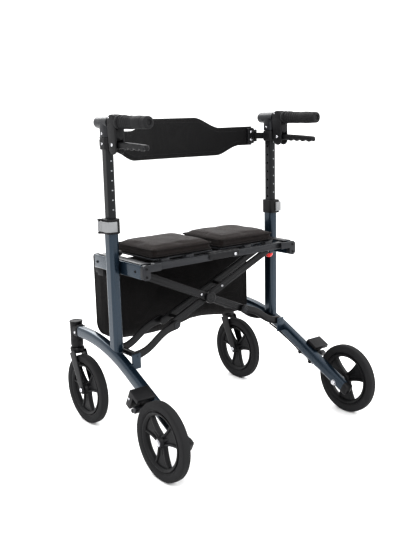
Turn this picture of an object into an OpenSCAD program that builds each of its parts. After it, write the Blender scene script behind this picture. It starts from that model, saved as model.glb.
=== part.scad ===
// Four-wheeled walking frame with a seat, a bag, a back strap and a folding cross brace.
// Millimetres. X is the user's right, Y is forward, Z is up.
// The origin is on the floor, under the middle of the frame's own box.

/* [Wheels] */
// Outside diameter of all four tyres
wheel_d = 200; // [190:1:202]
// Width of a tyre
tyre_w = 24; // [20:1:25]
// Distance between the front and rear axles
wheelbase = 440; // [436:1:444]
// How far each caster's axle trails behind its stem
trail = 48; // [44:1:50]

/* [Frame] */
// From the middle of the frame to the middle of a post
post_x = 283; // [282:0.5:284]
// Height of the grips above the floor
grip_z = 856; // [852:1:862]
// Height of the seat cushions' tops
seat_top_z = 530; // [526:1:532]
// From the middle of the frame to a rear wheel's mid-plane
rear_wheel_x = 332; // [331:0.5:334]
// From the middle of the frame to a caster's mid-plane
caster_x = 286; // [285:0.5:287]

/* [Soft parts] */
// Depth of the bag from back to front
bag_depth = 122; // [100:1:122]
// Height of the bag
bag_h = 200; // [160:1:200]
// Height of the back strap's wide middle
strap_h = 109; // [90:1:110]

/* [Hidden] */
$fn = 64;
gap = 0.3;
// A bar's straight edges sit this much inside its round ends.
bar_ease = 0.3;

wheel_r = wheel_d / 2;
front_axle_y = wheelbase / 2;
rear_axle_y = -wheelbase / 2;
// The posts stand this far ahead of the middle of the wheelbase.
post_y = 54;
axle_d = 8;
bore_d = axle_d + 0.1;

// The leg: a straight rear run, an arc that levels out, and a level front run.
leg_w = 27;
leg_h = 32;
leg_x = 287.5;
leg_slope = 26.9;
leg_arc_r = 480;
leg_front_z = 268;
leg_level_y = 211;
leg_front_y = 249.5;
leg_rear_over = 46;
// Height of the leg's middle line over the line through the rear axle, square to the slope.
leg_lift = (leg_front_z - leg_arc_r * (1 - cos(leg_slope)) - wheel_r) * cos(leg_slope)
    - (leg_level_y - leg_arc_r * sin(leg_slope) - rear_axle_y) * sin(leg_slope);

// The post, its sliding tube and the clamp collar.
post_w = 28;
post_d = 36;
post_round = 10;
post_top_z = 584;
tube_w = 22;
tube_d = 30;
tube_round = 8;
tube_bottom_z = 395;
tube_top_z = 836;
hole_pitch = 25;
collar_z = 572;
collar_h = 39;

// The seat rail, and the lines that the seat and the brace hinge on.
rail_w = 21.5;
rail_h = 38;
rail_x = 258;
rail_z = 480;
rail_rear_y = post_y - 108;
rail_front_y = post_y + 120;
seat_hinge_x = 222;
seat_hinge_z = 490;
crossbar_y = post_y - 103;
crossbar_t = 18;
crossbar_h = 19;
link_half = 42;
seat_gap = 13.5;
seat_rear_y = post_y - 86;
seat_front_y = post_y + 96;

// The cross brace: hinge at the rail, hub on the middle, lower end, and the arm's own hinge.
brace_x = 236;
brace_z = 466;
hub_z = 361;
knee_x = 125;
brace_angle = atan((brace_z - hub_z) / brace_x);
knee_z = hub_z - knee_x * tan(brace_angle);
arm_x = 257.5;
arm_z = 247;
arm_length = norm([arm_x - knee_x, arm_z - knee_z]);
arm_angle = atan((knee_z - arm_z) / (arm_x - knee_x));
blade_t = 7;
blade_h = 22;
brace_a_ys = [post_y - 50, post_y + 11];
brace_b_ys = [post_y - 41, post_y + 2];
arm_ys = [post_y - 60, post_y + 20];
arm_t = 8;

// The caster head's place.
stem_y = front_axle_y + trail;
head_top_z = 295;
head_bottom_z = 217;
fork_gap = 3.5;
fork_t = 5;

// The brake cable comes out under the leg and runs along it to the first adjuster lug.
cable_d = 5;
lug_at = [104, 150];
lug_len = 10;
lug_h = 11;
leg_under = leg_lift - leg_h / 2;

// A point under the leg's arc, and one along its straight part, clear of it by the cable's half.
function under_arc(angle) = [leg_level_y, leg_front_z - leg_arc_r]
    + (leg_arc_r - leg_h / 2 - cable_d / 2 - gap) * [-sin(angle), cos(angle)];
function by_leg(distance, lift) = [rear_axle_y, wheel_r]
    + distance * [cos(leg_slope), sin(leg_slope)] + lift * [-sin(leg_slope), cos(leg_slope)];
cable_line = [
    under_arc(20), under_arc(22), under_arc(24), under_arc(leg_slope),
    by_leg(225, leg_under - cable_d / 2 - gap), by_leg(205, leg_under - cable_d / 2 - gap),
    by_leg(188, leg_under - 3.4), by_leg(174, leg_under - 4.7),
    by_leg(lug_at[1] + lug_len + gap, leg_under - lug_h / 2),
];
cable_points = [for (i = [0:len(cable_line) - 1]) [277 + i, cable_line[i][0], cable_line[i][1]]];

left = -1;
right = 1;

// Every sided piece is drawn for the right-hand side and mirrored for the left.
module on(side) {
    if (side < 0) mirror([1, 0, 0]) children();
    else children();
}

// A slab of an outline drawn in (Y, Z), from x0 to x1.
module slab(x0, x1) {
    translate([x0, 0, 0]) rotate([90, 0, 90]) linear_extrude(x1 - x0) children();
}

// A slab of an outline drawn in (X, Z), from y0 to y1.
module wall(y0, y1) {
    translate([0, y1, 0]) rotate([90, 0, 0]) linear_extrude(y1 - y0) children();
}

// A flat bar in two dimensions from p to q with round ends.
module bar(p, q, rp, rq) {
    dir = (q - p) / norm(q - p);
    side = [-dir[1], dir[0]];
    translate(p) circle(rp);
    translate(q) circle(rq);
    hp = rp - bar_ease;
    hq = rq - bar_ease;
    polygon([p + side * hp, q + side * hq, q - side * hq, p - side * hp]);
}

module round_rect(w, d, r) {
    square([w - 2 * r, d], center = true);
    square([w, d - 2 * r], center = true);
    for (sx = [-1, 1], sy = [-1, 1])
        translate([sx * (w / 2 - r), sy * (d / 2 - r)]) circle(r);
}

module rod_x(p, x0, x1, d) {
    translate([x0, p[0], p[1]]) rotate([0, 90, 0]) cylinder(d = d, h = x1 - x0);
}

module rod_y(p, y0, y1, d) {
    translate([p[0], y0, p[1]]) rotate([-90, 0, 0]) cylinder(d = d, h = y1 - y0);
}

// The leg's outline in (Y, Z), h high; grow adds to its length at both ends.
module leg_outline(h, grow = 0) {
    centre = [leg_level_y, leg_front_z - leg_arc_r];
    knee = centre + leg_arc_r * [-sin(leg_slope), cos(leg_slope)];
    reach = (knee[0] - rear_axle_y) / cos(leg_slope) + leg_rear_over + grow;
    translate([leg_level_y, leg_front_z - h / 2])
        square([leg_front_y - leg_level_y + grow, h]);
    intersection() {
        translate(centre) difference() {
            circle(leg_arc_r + h / 2, $fn = 180);
            circle(leg_arc_r - h / 2, $fn = 180);
        }
        polygon([centre, centre + 600 * [-sin(leg_slope), cos(leg_slope)],
            centre + [-150, 700], centre + [0, 700]]);
    }
    translate(knee) rotate(leg_slope) translate([-reach, -h / 2]) square([reach, h]);
}

module leg() {
    wall_t = 2.5;
    color("slategray") {
        difference() {
            slab(leg_x - leg_w / 2, leg_x + leg_w / 2) leg_outline(leg_h);
            slab(leg_x - leg_w / 2 + wall_t, leg_x + leg_w / 2 - wall_t)
                leg_outline(leg_h - 2 * wall_t, 5);
            rod_x([rear_axle_y, wheel_r], leg_x - leg_w, leg_x + leg_w, bore_d);
        }
        // Two lugs on the inner face hold the pin of the brace's lower arm.
        for (y = [post_y - 66, post_y + 29])
            translate([arm_x - 8, y, arm_z - (y < post_y ? 34 : 8)])
                cube([leg_x - leg_w / 2 - arm_x + 8, 5, y < post_y ? 42 : 16]);
        rod_y([arm_x, arm_z], post_y - 66, post_y + 34, axle_d);
    }
}

module post() {
    color("slategray") difference() {
        translate([post_x, post_y, 236]) linear_extrude(post_top_z - 236)
            round_rect(post_w, post_d, post_round);
        translate([post_x, post_y, 290]) linear_extrude(post_top_z)
            round_rect(tube_w + 2 * gap, tube_d + 2 * gap, tube_round);
        slab(0, 400) leg_outline(leg_h);
        translate([200, -400, 0]) cube([200, 800, 242]);
    }
}

// The red ball, and the rod that runs up from it into the rail.
knob_at = [rail_x, post_y - 20, 449];
knob_rod_d = 6;

module seat_rail(with_knob = false) {
    wall_t = 2;
    color("slategray") {
        difference() {
            translate([rail_x, 0, rail_z]) wall(rail_rear_y, rail_front_y)
                round_rect(rail_w, rail_h, 5);
            translate([rail_x, 0, rail_z]) wall(rail_rear_y - 1, rail_front_y + 1)
                round_rect(rail_w - 2 * wall_t, rail_h - 2 * wall_t, 3);
            if (with_knob) translate(knob_at) cylinder(d = knob_rod_d + 0.1, h = 20);
        }
        // The brace's top hinge: two lugs and a pin on the rail's inner face.
        for (y = [post_y - 56, post_y + 20])
            translate([brace_x - 8, y, brace_z - 8])
                cube([rail_x - rail_w / 2 - brace_x + 8, 5, 16]);
        rod_y([brace_x, brace_z], post_y - 56, post_y + 25, axle_d);
    }
}

// Cast fittings on the rail: the rear casting, the strip under the cushion and the front lug.
module rail_fittings() {
    inner = rail_x - rail_w / 2;
    plate_t = 5;
    low_z = seat_hinge_z - crossbar_h / 2;
    color("dimgray") {
        translate([rail_x, 0, rail_z]) wall(rail_rear_y - 14, rail_rear_y)
            round_rect(rail_w + 2, rail_h + 2, 10);
        // Rear fork for the crossbar's eye, with its pin.
        translate([seat_hinge_x - 9, rail_rear_y - 14, low_z])
            cube([inner - seat_hinge_x + 12, plate_t, crossbar_h]);
        translate([seat_hinge_x - 9, rail_rear_y + 15, low_z])
            cube([inner - seat_hinge_x + 9, plate_t, crossbar_h - 0.5]);
        rod_y([seat_hinge_x, seat_hinge_z], rail_rear_y - 14, rail_rear_y + 20, axle_d);
        // Front lug and pin for the seat frame's other eye.
        translate([seat_hinge_x - 9, seat_front_y + 4, low_z])
            cube([inner - seat_hinge_x + 9, plate_t, crossbar_h - 0.5]);
        rod_y([seat_hinge_x, seat_hinge_z], seat_front_y - 12, seat_front_y + 9, axle_d);
        // Strip along the top of the rail, under the cushion's edge.
        translate([inner - 10, rail_rear_y + 2, rail_z + rail_h / 2])
            cube([28, rail_front_y - rail_rear_y - 20, 2.5]);
    }
}

// Cap on the rail's front end; its foot is the hanger that the bag hooks on.
module rail_cap() {
    under = rail_z - rail_h / 2;
    color([0.1, 0.1, 0.1]) {
        translate([rail_x, 0, rail_z]) wall(rail_front_y, rail_front_y + 6)
            round_rect(rail_w + 1, rail_h + 1, 8);
        translate([rail_x - 4, post_y + 84, under - 14])
            cube([10, rail_front_y + 4 - post_y - 84, 14]);
        translate([rail_x - 4, rail_front_y + 0.5, under - 14]) cube([10, 5, 20]);
        translate([242, post_y + 84, under - 20]) cube([rail_x - 236, 30, 6]);
    }
}

module height_tube() {
    first_hole_z = collar_z + collar_h + 11;
    color("slategray") difference() {
        translate([post_x, post_y, tube_bottom_z]) linear_extrude(tube_top_z - tube_bottom_z)
            round_rect(tube_w, tube_d, tube_round);
        translate([post_x, post_y, tube_bottom_z - 1]) linear_extrude(tube_top_z)
            round_rect(tube_w - 5, tube_d - 5, tube_round - 2.5);
        // A row of height holes in the inner face.
        for (i = [0:6])
            rod_x([post_y, first_hole_z + i * hole_pitch], post_x - tube_w, post_x - 1, 6);
    }
}

// The pin that the collar's lever turns on.
hinge = [post_x + 25, post_y + 17];

// Clamp collar over the top of the post.
module collar() {
    ear_t = 5;
    color([0.12, 0.12, 0.13]) difference() {
        union() {
            translate([post_x + 2, post_y - 1, collar_z]) linear_extrude(collar_h)
                round_rect(post_w + 10, post_d + 10, 12);
            // Two ears and a pin hold the lever.
            for (z = [collar_z, collar_z + collar_h - ear_t]) translate([0, 0, z])
                linear_extrude(ear_t) bar([post_x + 14, post_y + 8], hinge, 8, 4.5);
            translate([hinge[0], hinge[1], collar_z]) cylinder(d = 4, h = collar_h);
        }
        translate([post_x, post_y, collar_z - 1]) linear_extrude(post_top_z - collar_z + 1)
            round_rect(post_w, post_d, post_round);
        translate([post_x, post_y, collar_z - 1]) linear_extrude(collar_h + 2)
            round_rect(tube_w + 2 * gap, tube_d + 2 * gap, tube_round);
    }
}

// Lever that wraps the collar's outer side and back, hinged at the outer front corner.
module collar_lever() {
    color([0.72, 0.73, 0.74]) {
        difference() {
            translate([post_x + 2, post_y - 1, collar_z + 6]) linear_extrude(collar_h - 12)
                round_rect(post_w + 20, post_d + 20, 16);
            translate([post_x + 2, post_y - 1, collar_z]) linear_extrude(collar_h)
                round_rect(post_w + 11, post_d + 11, 12.5);
            translate([post_x - 60, post_y - 60, collar_z]) cube([58, 120, collar_h]);
            translate([post_x - 60, post_y + 8, collar_z]) cube([120, 60, collar_h]);
        }
        translate([hinge[0], hinge[1], collar_z + 6]) difference() {
            union() {
                cylinder(d = 9, h = collar_h - 12);
                translate([-2.6, -12, 0]) cube([4, 12, collar_h - 12]);
            }
            translate([0, 0, -1]) cylinder(d = 4.1, h = collar_h);
        }
    }
}

// The bar that the grip sits on, and the socket that takes the height tube.
bar_d = 22;
bar_rear_y = post_y - 186;
socket_z = 819;

module handle_head() {
    color([0.2, 0.21, 0.23]) difference() {
        union() {
            translate([post_x, post_y, socket_z]) linear_extrude(grip_z - socket_z)
                round_rect(tube_w + 8, tube_d + 8, 12);
            rod_y([post_x, grip_z], post_y - 20.5, post_y + 43, 31);
            rod_y([post_x, grip_z], bar_rear_y, post_y - 20, bar_d);
        }
        translate([post_x, post_y, 800]) linear_extrude(tube_top_z - 800)
            round_rect(tube_w, tube_d, tube_round);
    }
}

module grip() {
    color([0.1, 0.1, 0.11]) difference() {
        union() {
            rod_y([post_x, grip_z], bar_rear_y - 6, post_y - 62, 33);
            rod_y([post_x, grip_z], post_y - 74, post_y - 62, 37);
        }
        rod_y([post_x, grip_z], bar_rear_y, post_y, bar_d);
    }
}

lever_pivot = [post_y - 45, 801];

module brake_housing() {
    color([0.14, 0.14, 0.15]) difference() {
        slab(post_x - 14, post_x + 14)
            bar([post_y - 41, grip_z], [post_y - 46, 793], 20, 16);
        rod_y([post_x, grip_z], post_y - 70, post_y, bar_d);
        // Slot that the lever swings in.
        slab(post_x - 8, post_x + 8) translate([post_y - 90, 760]) square([62, 62]);
    }
    color("silver") rod_x(lever_pivot, post_x - 13, post_x + 13, 6);
}

module brake_lever() {
    tip = [post_y - 184, 794];
    elbow = [post_y - 100, 799];
    color([0.1, 0.1, 0.11]) difference() {
        slab(post_x - 7.5, post_x + 7.5) {
            translate(lever_pivot) circle(11);
            translate(tip) circle(7.5);
            polygon([lever_pivot + [0, 10.5], elbow + [0, 9], tip + [0, 7],
                tip - [0, 7], elbow - [0, 9], lever_pivot - [0, 10.5]]);
        }
        rod_x(lever_pivot, post_x - 20, post_x + 20, 6.1);
        rod_x(tip, post_x - 20, post_x + 20, 6);
    }
}

strap_hinge = [268, post_y + 51];
strap_pin_d = 6;

module strap_bracket() {
    color([0.12, 0.12, 0.13]) difference() {
        union() {
            translate([post_x, post_y, 788]) linear_extrude(30)
                round_rect(tube_w + 9, tube_d + 9, 12);
            translate([0, 0, 794]) linear_extrude(18)
                bar([post_x - 2, post_y + 14], strap_hinge, 8, 7);
            translate([strap_hinge[0], strap_hinge[1], 785]) cylinder(d = strap_pin_d, h = 36);
        }
        translate([post_x, post_y, 780]) linear_extrude(50)
            round_rect(tube_w, tube_d, tube_round);
    }
}

// One half of the padded back strap, bowed forward to the middle.
module back_strap() {
    t = 14;
    half = strap_hinge[0] - 9;
    bow = 54;
    r = (half * half + bow * bow) / (2 * bow);
    tip_gap = 8;
    top = 861;
    low = top - strap_h;
    end_top = 829;
    end_low = 778;
    color([0.08, 0.08, 0.08]) {
        intersection() {
            translate([0, strap_hinge[1] + bow - r, 700]) difference() {
                cylinder(r = r + t / 2, h = 200, $fn = 180);
                translate([0, 0, -1]) cylinder(r = r - t / 2, h = 202, $fn = 180);
            }
            wall(post_y, post_y + 140) polygon([[tip_gap, low], [172, low], [205, end_low],
                [half, end_low], [half, end_top], [133, end_top], [88, top], [tip_gap, top]]);
        }
        // Two eyes on the bracket's pin, above and below its ear.
        for (z = [786, 812.5]) translate([0, 0, z]) linear_extrude(7.5) difference() {
            bar(strap_hinge + [-14, 2], strap_hinge, 6, 6);
            translate(strap_hinge) circle(d = strap_pin_d + 0.1);
        }
    }
}

// One half of the seat's folding frame: its crossbar, its plate and its two eyes.
module seat_frame() {
    plate_t = 5;
    plate_z = 500;
    hub_y = crossbar_y - crossbar_t / 2;
    color("dimgray") difference() {
        union() {
            wall(hub_y, hub_y + crossbar_t)
                bar([link_half, seat_hinge_z], [seat_hinge_x, seat_hinge_z],
                    crossbar_h / 2, crossbar_h / 2);
            translate([seat_gap + 1, seat_rear_y, plate_z])
                cube([seat_hinge_x - 9 - seat_gap, seat_front_y - seat_rear_y, plate_t]);
            // Two webs tie the plate to the crossbar.
            for (x = [90, 170])
                translate([x, hub_y + crossbar_t - 6, 492])
                    cube([26, 20, 13]);
            wall(seat_front_y - 12, seat_front_y)
                bar([seat_hinge_x - 16, plate_z - 2], [seat_hinge_x, seat_hinge_z], 7, 8);
        }
        rod_y([seat_hinge_x, seat_hinge_z], hub_y - 1, hub_y + crossbar_t + 1, bore_d);
        rod_y([seat_hinge_x, seat_hinge_z], seat_front_y - 13, seat_front_y + 1, bore_d);
        rod_y([link_half, seat_hinge_z], hub_y - 1, hub_y + crossbar_t + 1, 6.1);
    }
}

module seat_cushion() {
    color([0.2, 0.17, 0.16])
        translate([seat_gap, seat_rear_y - 1, 505.2])
            cube([213 - seat_gap, seat_front_y - seat_rear_y + 4, seat_top_z - 505.2]);
}

// Hand grip over the middle of the crossbar; its left end slides over the left bar's tip.
module crossbar_grip() {
    wall_t = 3.2;
    y0 = crossbar_y - crossbar_t / 2 - 0.4;
    y1 = crossbar_y + crossbar_t / 2 + 0.4;
    color([0.16, 0.16, 0.17]) {
        difference() {
            wall(y0 - wall_t, y1 + wall_t) bar([-38, 492], [48, 492], 11.5, 11.5);
            wall(y0, y1) translate([-80, 460]) square([160, 40]);
            translate([-80, y0 - 10, 470]) cube([160, 60, 12]);
        }
        rod_y([link_half, seat_hinge_z], y0 - wall_t, y1 + wall_t, 6);
    }
}

// A bar of the cross brace, drawn from the upper left to the lower right.
module brace_bar(ys) {
    for (y = ys) wall(y, y + blade_t)
        bar([-brace_x, brace_z], [knee_x, knee_z], blade_h / 2, blade_h / 2);
}

module brace_holes(y0, y1) {
    rod_y([-brace_x, brace_z], y0, y1, bore_d);
    rod_y([knee_x, knee_z], y0, y1, bore_d);
}

module brace_a() {
    color([0.34, 0.35, 0.37]) {
        difference() {
            union() {
                brace_bar(brace_a_ys);
                // Spacer tubes tie the front and rear blades together.
                for (at = [[-120, hub_z + 120 * tan(brace_angle)], [66, hub_z - 66 * tan(brace_angle)]])
                    rod_y(at, brace_a_ys[0] + 1, brace_a_ys[1] + 1, 10);
            }
            brace_holes(post_y - 90, post_y + 60);
        }
        // The hub pin is fixed in these blades; its big round head is at the rear.
        rod_y([0, hub_z], post_y - 54, post_y + 22, 14);
        rod_y([0, hub_z], post_y - 58, post_y - 49, 34);
    }
}

module brace_b() {
    color([0.34, 0.35, 0.37]) difference() {
        mirror([1, 0, 0]) {
            brace_bar(brace_b_ys);
            for (at = [[-60, hub_z + 60 * tan(brace_angle)], [100, hub_z - 100 * tan(brace_angle)]])
                rod_y(at, brace_b_ys[0] + 1, brace_b_ys[1] + 1, 10);
        }
        mirror([1, 0, 0]) brace_holes(post_y - 90, post_y + 60);
        rod_y([0, hub_z], post_y - 90, post_y + 60, 14.1);
    }
}

// Swan-necked lower arm: two cast blades on one tube that turns on the leg's pin.
module brace_arm() {
    dir = [-cos(arm_angle), sin(arm_angle)];
    side = [dir[1], -dir[0]];
    top = [arm_x, arm_z];
    p1 = top + dir * 42 - side * 5;
    p2 = top + dir * 96 + side * 3;
    p3 = top + dir * arm_length;
    color([0.3, 0.31, 0.33]) difference() {
        union() {
            for (y = arm_ys) wall(y, y + arm_t) {
                bar(top, p1, 12, 11);
                bar(p1, p2, 11, 11);
                bar(p2, p3, 11, 13);
            }
            rod_y(top, arm_ys[0] + 1, arm_ys[1] + 1, 17);
        }
        rod_y(top, post_y - 90, post_y + 60, bore_d);
    }
}

// Red ball on a short rod, pulled down to free the brace.
module release_knob() {
    color("firebrick") {
        translate(knob_at) sphere(d = 23);
        translate(knob_at) cylinder(d = knob_rod_d, h = 31);
    }
}

bag_rear_y = post_y + 60;
bag_top_z = 458;
bag_half = 240;
bag_corner = 26;

// The bag's side outline in (Y, Z), shrunk by inset, with rounded corners.
module bag_outline(inset, open_top) {
    r = bag_corner - inset;
    y0 = bag_rear_y + inset;
    y1 = bag_rear_y + bag_depth - inset;
    z0 = bag_top_z - bag_h + inset;
    z1 = open_top ? bag_top_z + 40 : bag_top_z;
    translate([y0 + r, z0]) square([y1 - y0 - 2 * r, z1 - z0]);
    translate([y0, z0 + r]) square([y1 - y0, z1 - z0 - r]);
    for (y = [y0 + r, y1 - r]) translate([y, z0 + r]) circle(r);
}

// The bag is two open shells, the right one sliding inside the left as the frame folds.
module bag(x_in, inset) {
    wall_t = 3;
    color([0.1, 0.1, 0.1]) difference() {
        slab(x_in, bag_half) bag_outline(inset, false);
        slab(x_in - 1, bag_half - wall_t) bag_outline(inset + wall_t, true);
    }
}

module caster_head() {
    color([0.1, 0.1, 0.1]) {
        difference() {
            union() {
                translate([caster_x, stem_y, head_bottom_z])
                    cylinder(d = 36, h = head_top_z - head_bottom_z - 5);
                translate([caster_x, stem_y, head_top_z - 5]) cylinder(d = 39, h = 5);
            }
            translate([caster_x, stem_y, head_bottom_z - 1]) cylinder(d = 12.1, h = 62);
            slab(200, 400) leg_outline(leg_h);
        }
    }
}

module caster_fork() {
    inner = tyre_w / 2 + fork_gap;
    axle = [front_axle_y, wheel_r];
    color([0.13, 0.13, 0.13]) {
        difference() {
            union() {
                for (side = [-1, 1])
                    slab(caster_x + side * (inner + fork_t / 2) - fork_t / 2,
                        caster_x + side * (inner + fork_t / 2) + fork_t / 2) {
                        bar(axle, [front_axle_y + 20, wheel_r + 62], 13, 17);
                        bar([front_axle_y + 20, wheel_r + 62], [stem_y - 2, 202], 17, 14);
                    }
                translate([caster_x, stem_y, 203]) cylinder(d = 2 * (inner + fork_t), h = 13.5);
            }
            rod_x(axle, caster_x - 40, caster_x + 40, axle_d);
        }
        translate([caster_x, stem_y, 214]) cylinder(d = 12, h = 60);
    }
    color("silver") rod_x(axle, caster_x - inner - fork_t - 3, caster_x + inner + fork_t + 3, axle_d);
}

module tyre(x, y) {
    bead_r = wheel_r - 21;
    color([0.16, 0.16, 0.16]) translate([x, y, wheel_r]) rotate([0, 90, 0])
        rotate_extrude($fn = 128) intersection() {
            union() {
                translate([wheel_r - tyre_w / 2, 0]) circle(d = tyre_w);
                translate([bead_r, -tyre_w / 2]) square([wheel_r - tyre_w / 2 - bead_r, tyre_w]);
            }
            translate([bead_r, -tyre_w]) square(2 * tyre_w);
        }
}

// How wide a rim spoke's two ribs are along the axle, and the sunk web between them.
rim_spoke = 14;
rim_web = 7;

// Moulded three-spoke rim; reach is how far the hub's ends stand from the middle.
module rim(x, y, reach) {
    bead_r = wheel_r - 21;
    color([0.15, 0.15, 0.15]) translate([x, y, wheel_r]) rotate([0, 90, 0]) difference() {
        union() {
            translate([0, 0, -tyre_w / 2 + 1]) difference() {
                cylinder(r = bead_r, h = tyre_w - 2, $fn = 128);
                translate([0, 0, -1]) cylinder(r = bead_r - 8, h = tyre_w, $fn = 128);
            }
            translate([0, 0, -reach]) cylinder(d = 30, h = 2 * reach);
            for (a = [0:120:240]) rotate(a) translate([0, 0, -rim_spoke / 2]) linear_extrude(rim_spoke) {
                polygon([[0, -13], [34, -11], [bead_r - 4, -30], [bead_r - 4, -18], [44, 0],
                    [bead_r - 4, 18], [bead_r - 4, 30], [34, 11], [0, 13]]);
            }
            for (a = [0:120:240]) rotate(a) translate([0, 0, -rim_web / 2]) linear_extrude(rim_web) {
                polygon([[0, -12], [34, -10], [bead_r - 4, -29], [bead_r - 4, 29], [34, 10], [0, 12]]);
            }
        }
        translate([0, 0, -60]) cylinder(d = bore_d, h = 120);
    }
}

module rear_axle() {
    inner = leg_x - leg_w / 2;
    color("silver") {
        rod_x([rear_axle_y, wheel_r], inner - 4, rear_wheel_x + 16, axle_d);
        rod_x([rear_axle_y, wheel_r], inner - 5, inner - 0.2, 15);
        rod_x([rear_axle_y, wheel_r], rear_wheel_x + 14.2, rear_wheel_x + 19, 16);
        difference() {
            rod_x([rear_axle_y, wheel_r], leg_x + leg_w / 2 + 0.2, rear_wheel_x - 14.2, 17);
            rod_x([rear_axle_y, wheel_r], leg_x, rear_wheel_x, axle_d - 0.01);
        }
    }
}

// Places children at a distance from the rear axle, along the leg's slope.
module by_rear_wheel(distance) {
    translate([0, rear_axle_y, wheel_r]) rotate([leg_slope, 0, 0])
        translate([0, distance, 0]) children();
}

shoe_pivot = 122;
shoe_pivot_lift = -10;

module brake_unit() {
    color([0.1, 0.1, 0.1]) {
        difference() {
            by_rear_wheel(112) translate([290, 0, -16]) cube([54, 42, 50]);
            slab(200, leg_x + leg_w / 2 + 0.1) leg_outline(leg_h);
            by_rear_wheel(100) translate([280, 0, -60]) cube([leg_x + leg_w / 2 - 280, 80, 60 + leg_lift]);
            // Pocket that the shoe swings in.
            by_rear_wheel(90) translate([318, 0, -17]) cube([28, 44, 38]);
        }
        by_rear_wheel(0) rod_x([shoe_pivot, shoe_pivot_lift], 317, 345, 5);
        // Two adjuster lugs under the leg, on a strip that joins them to the unit.
        for (d = lug_at) by_rear_wheel(d)
            translate([278, 0, leg_under - lug_h]) cube([14, lug_len, lug_h]);
        by_rear_wheel(lug_at[0])
            translate([290, 0, leg_under - 3]) cube([15, lug_at[1] + lug_len - lug_at[0], 3]);
        // The bare wire between the lugs.
        by_rear_wheel(lug_at[0] + 2) translate([285, 0, leg_under - lug_h / 2]) rotate([-90, 0, 0])
            cylinder(d = 2, h = lug_at[1] - lug_at[0]);
    }
}

module brake_shoe() {
    color([0.3, 0.3, 0.31]) by_rear_wheel(0) difference() {
        union() {
            rod_x([shoe_pivot, shoe_pivot_lift], 320, 344, 12);
            // The pad, a block that leans on the tyre.
            translate([320, shoe_pivot - 12, shoe_pivot_lift]) cube([24, 12, 16]);
        }
        rod_x([shoe_pivot, shoe_pivot_lift], 300, 350, 5.1);
    }
}

function cross(a, b) = [a[1] * b[2] - a[2] * b[1], a[2] * b[0] - a[0] * b[2], a[0] * b[1] - a[1] * b[0]];
function unit(v) = v / norm(v);
function heading(p, i) = unit(p[min(i + 1, len(p) - 1)] - p[max(i - 1, 0)]);

// A round tube swept along a list of points.
module tube_along(points, d, sides = 8) {
    rings = [for (i = [0:len(points) - 1])
        let (h = heading(points, i), u = unit(cross(h, [1, 0, 0])), v = cross(h, u))
        for (k = [0:sides - 1])
            points[i] + d / 2 * (cos(360 * k / sides) * u + sin(360 * k / sides) * v)];
    n = len(points);
    polyhedron(points = rings, faces = concat(
        [[for (k = [0:sides - 1]) k]],
        [for (i = [0:n - 2], k = [0:sides - 1]) let (m = (k + 1) % sides)
            [i * sides + k, (i + 1) * sides + k, (i + 1) * sides + m, i * sides + m]],
        [[for (k = [sides - 1:-1:0]) (n - 1) * sides + k]]));
}

module brake_cable() {
    color([0.05, 0.05, 0.05]) tube_along(cable_points, cable_d);
}

on(left) post();  // left_post
on(right) post();  // right_post
on(left) leg();  // left_leg
on(right) leg();  // right_leg
on(left) seat_rail();  // left_seat_rail
on(right) seat_rail(with_knob = true);  // right_seat_rail
on(left) rail_fittings();  // left_rail_fittings
on(right) rail_fittings();  // right_rail_fittings
on(left) rail_cap();  // left_rail_cap
on(right) rail_cap();  // right_rail_cap
on(left) height_tube();  // left_height_tube
on(right) height_tube();  // right_height_tube
on(left) collar();  // left_collar
on(right) collar();  // right_collar
on(left) collar_lever();  // left_collar_lever
on(right) collar_lever();  // right_collar_lever
on(left) handle_head();  // left_handle_head
on(right) handle_head();  // right_handle_head
on(left) grip();  // left_grip
on(right) grip();  // right_grip
on(left) brake_housing();  // left_brake_housing
on(right) brake_housing();  // right_brake_housing
on(left) brake_lever();  // left_brake_lever
on(right) brake_lever();  // right_brake_lever
on(left) strap_bracket();  // left_strap_bracket
on(right) strap_bracket();  // right_strap_bracket
on(left) back_strap();  // left_back_strap
on(right) back_strap();  // right_back_strap
on(left) seat_frame();  // left_seat_frame
on(right) seat_frame();  // right_seat_frame
on(left) seat_cushion();  // left_seat_cushion
on(right) seat_cushion();  // right_seat_cushion
crossbar_grip();
brace_a();
brace_b();
on(left) brace_arm();  // left_brace_arm
on(right) brace_arm();  // right_brace_arm
release_knob();
on(left) bag(x_in = -20, inset = 0);  // left_bag
on(right) bag(x_in = 14.5, inset = 4);  // right_bag
on(left) caster_head();  // left_caster_head
on(right) caster_head();  // right_caster_head
on(left) caster_fork();  // left_caster_fork
on(right) caster_fork();  // right_caster_fork
on(left) tyre(caster_x, front_axle_y);  // left_front_tyre
on(right) tyre(caster_x, front_axle_y);  // right_front_tyre
on(left) rim(caster_x, front_axle_y, reach = 15);  // left_front_rim
on(right) rim(caster_x, front_axle_y, reach = 15);  // right_front_rim
on(left) tyre(rear_wheel_x, rear_axle_y);  // left_rear_tyre
on(right) tyre(rear_wheel_x, rear_axle_y);  // right_rear_tyre
on(left) rim(rear_wheel_x, rear_axle_y, reach = 14);  // left_rear_rim
on(right) rim(rear_wheel_x, rear_axle_y, reach = 14);  // right_rear_rim
on(left) rear_axle();  // left_rear_axle
on(right) rear_axle();  // right_rear_axle
on(left) brake_unit();  // left_brake_unit
on(right) brake_unit();  // right_brake_unit
on(left) brake_shoe();  // left_brake_shoe
on(right) brake_shoe();  // right_brake_shoe
on(left) brake_cable();  // left_brake_cable
on(right) brake_cable();  // right_brake_cable
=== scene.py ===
from math import cos, exp, pi, radians, sin, sqrt

import bmesh
import bpy
from mathutils import Matrix, Vector, noise


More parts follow.
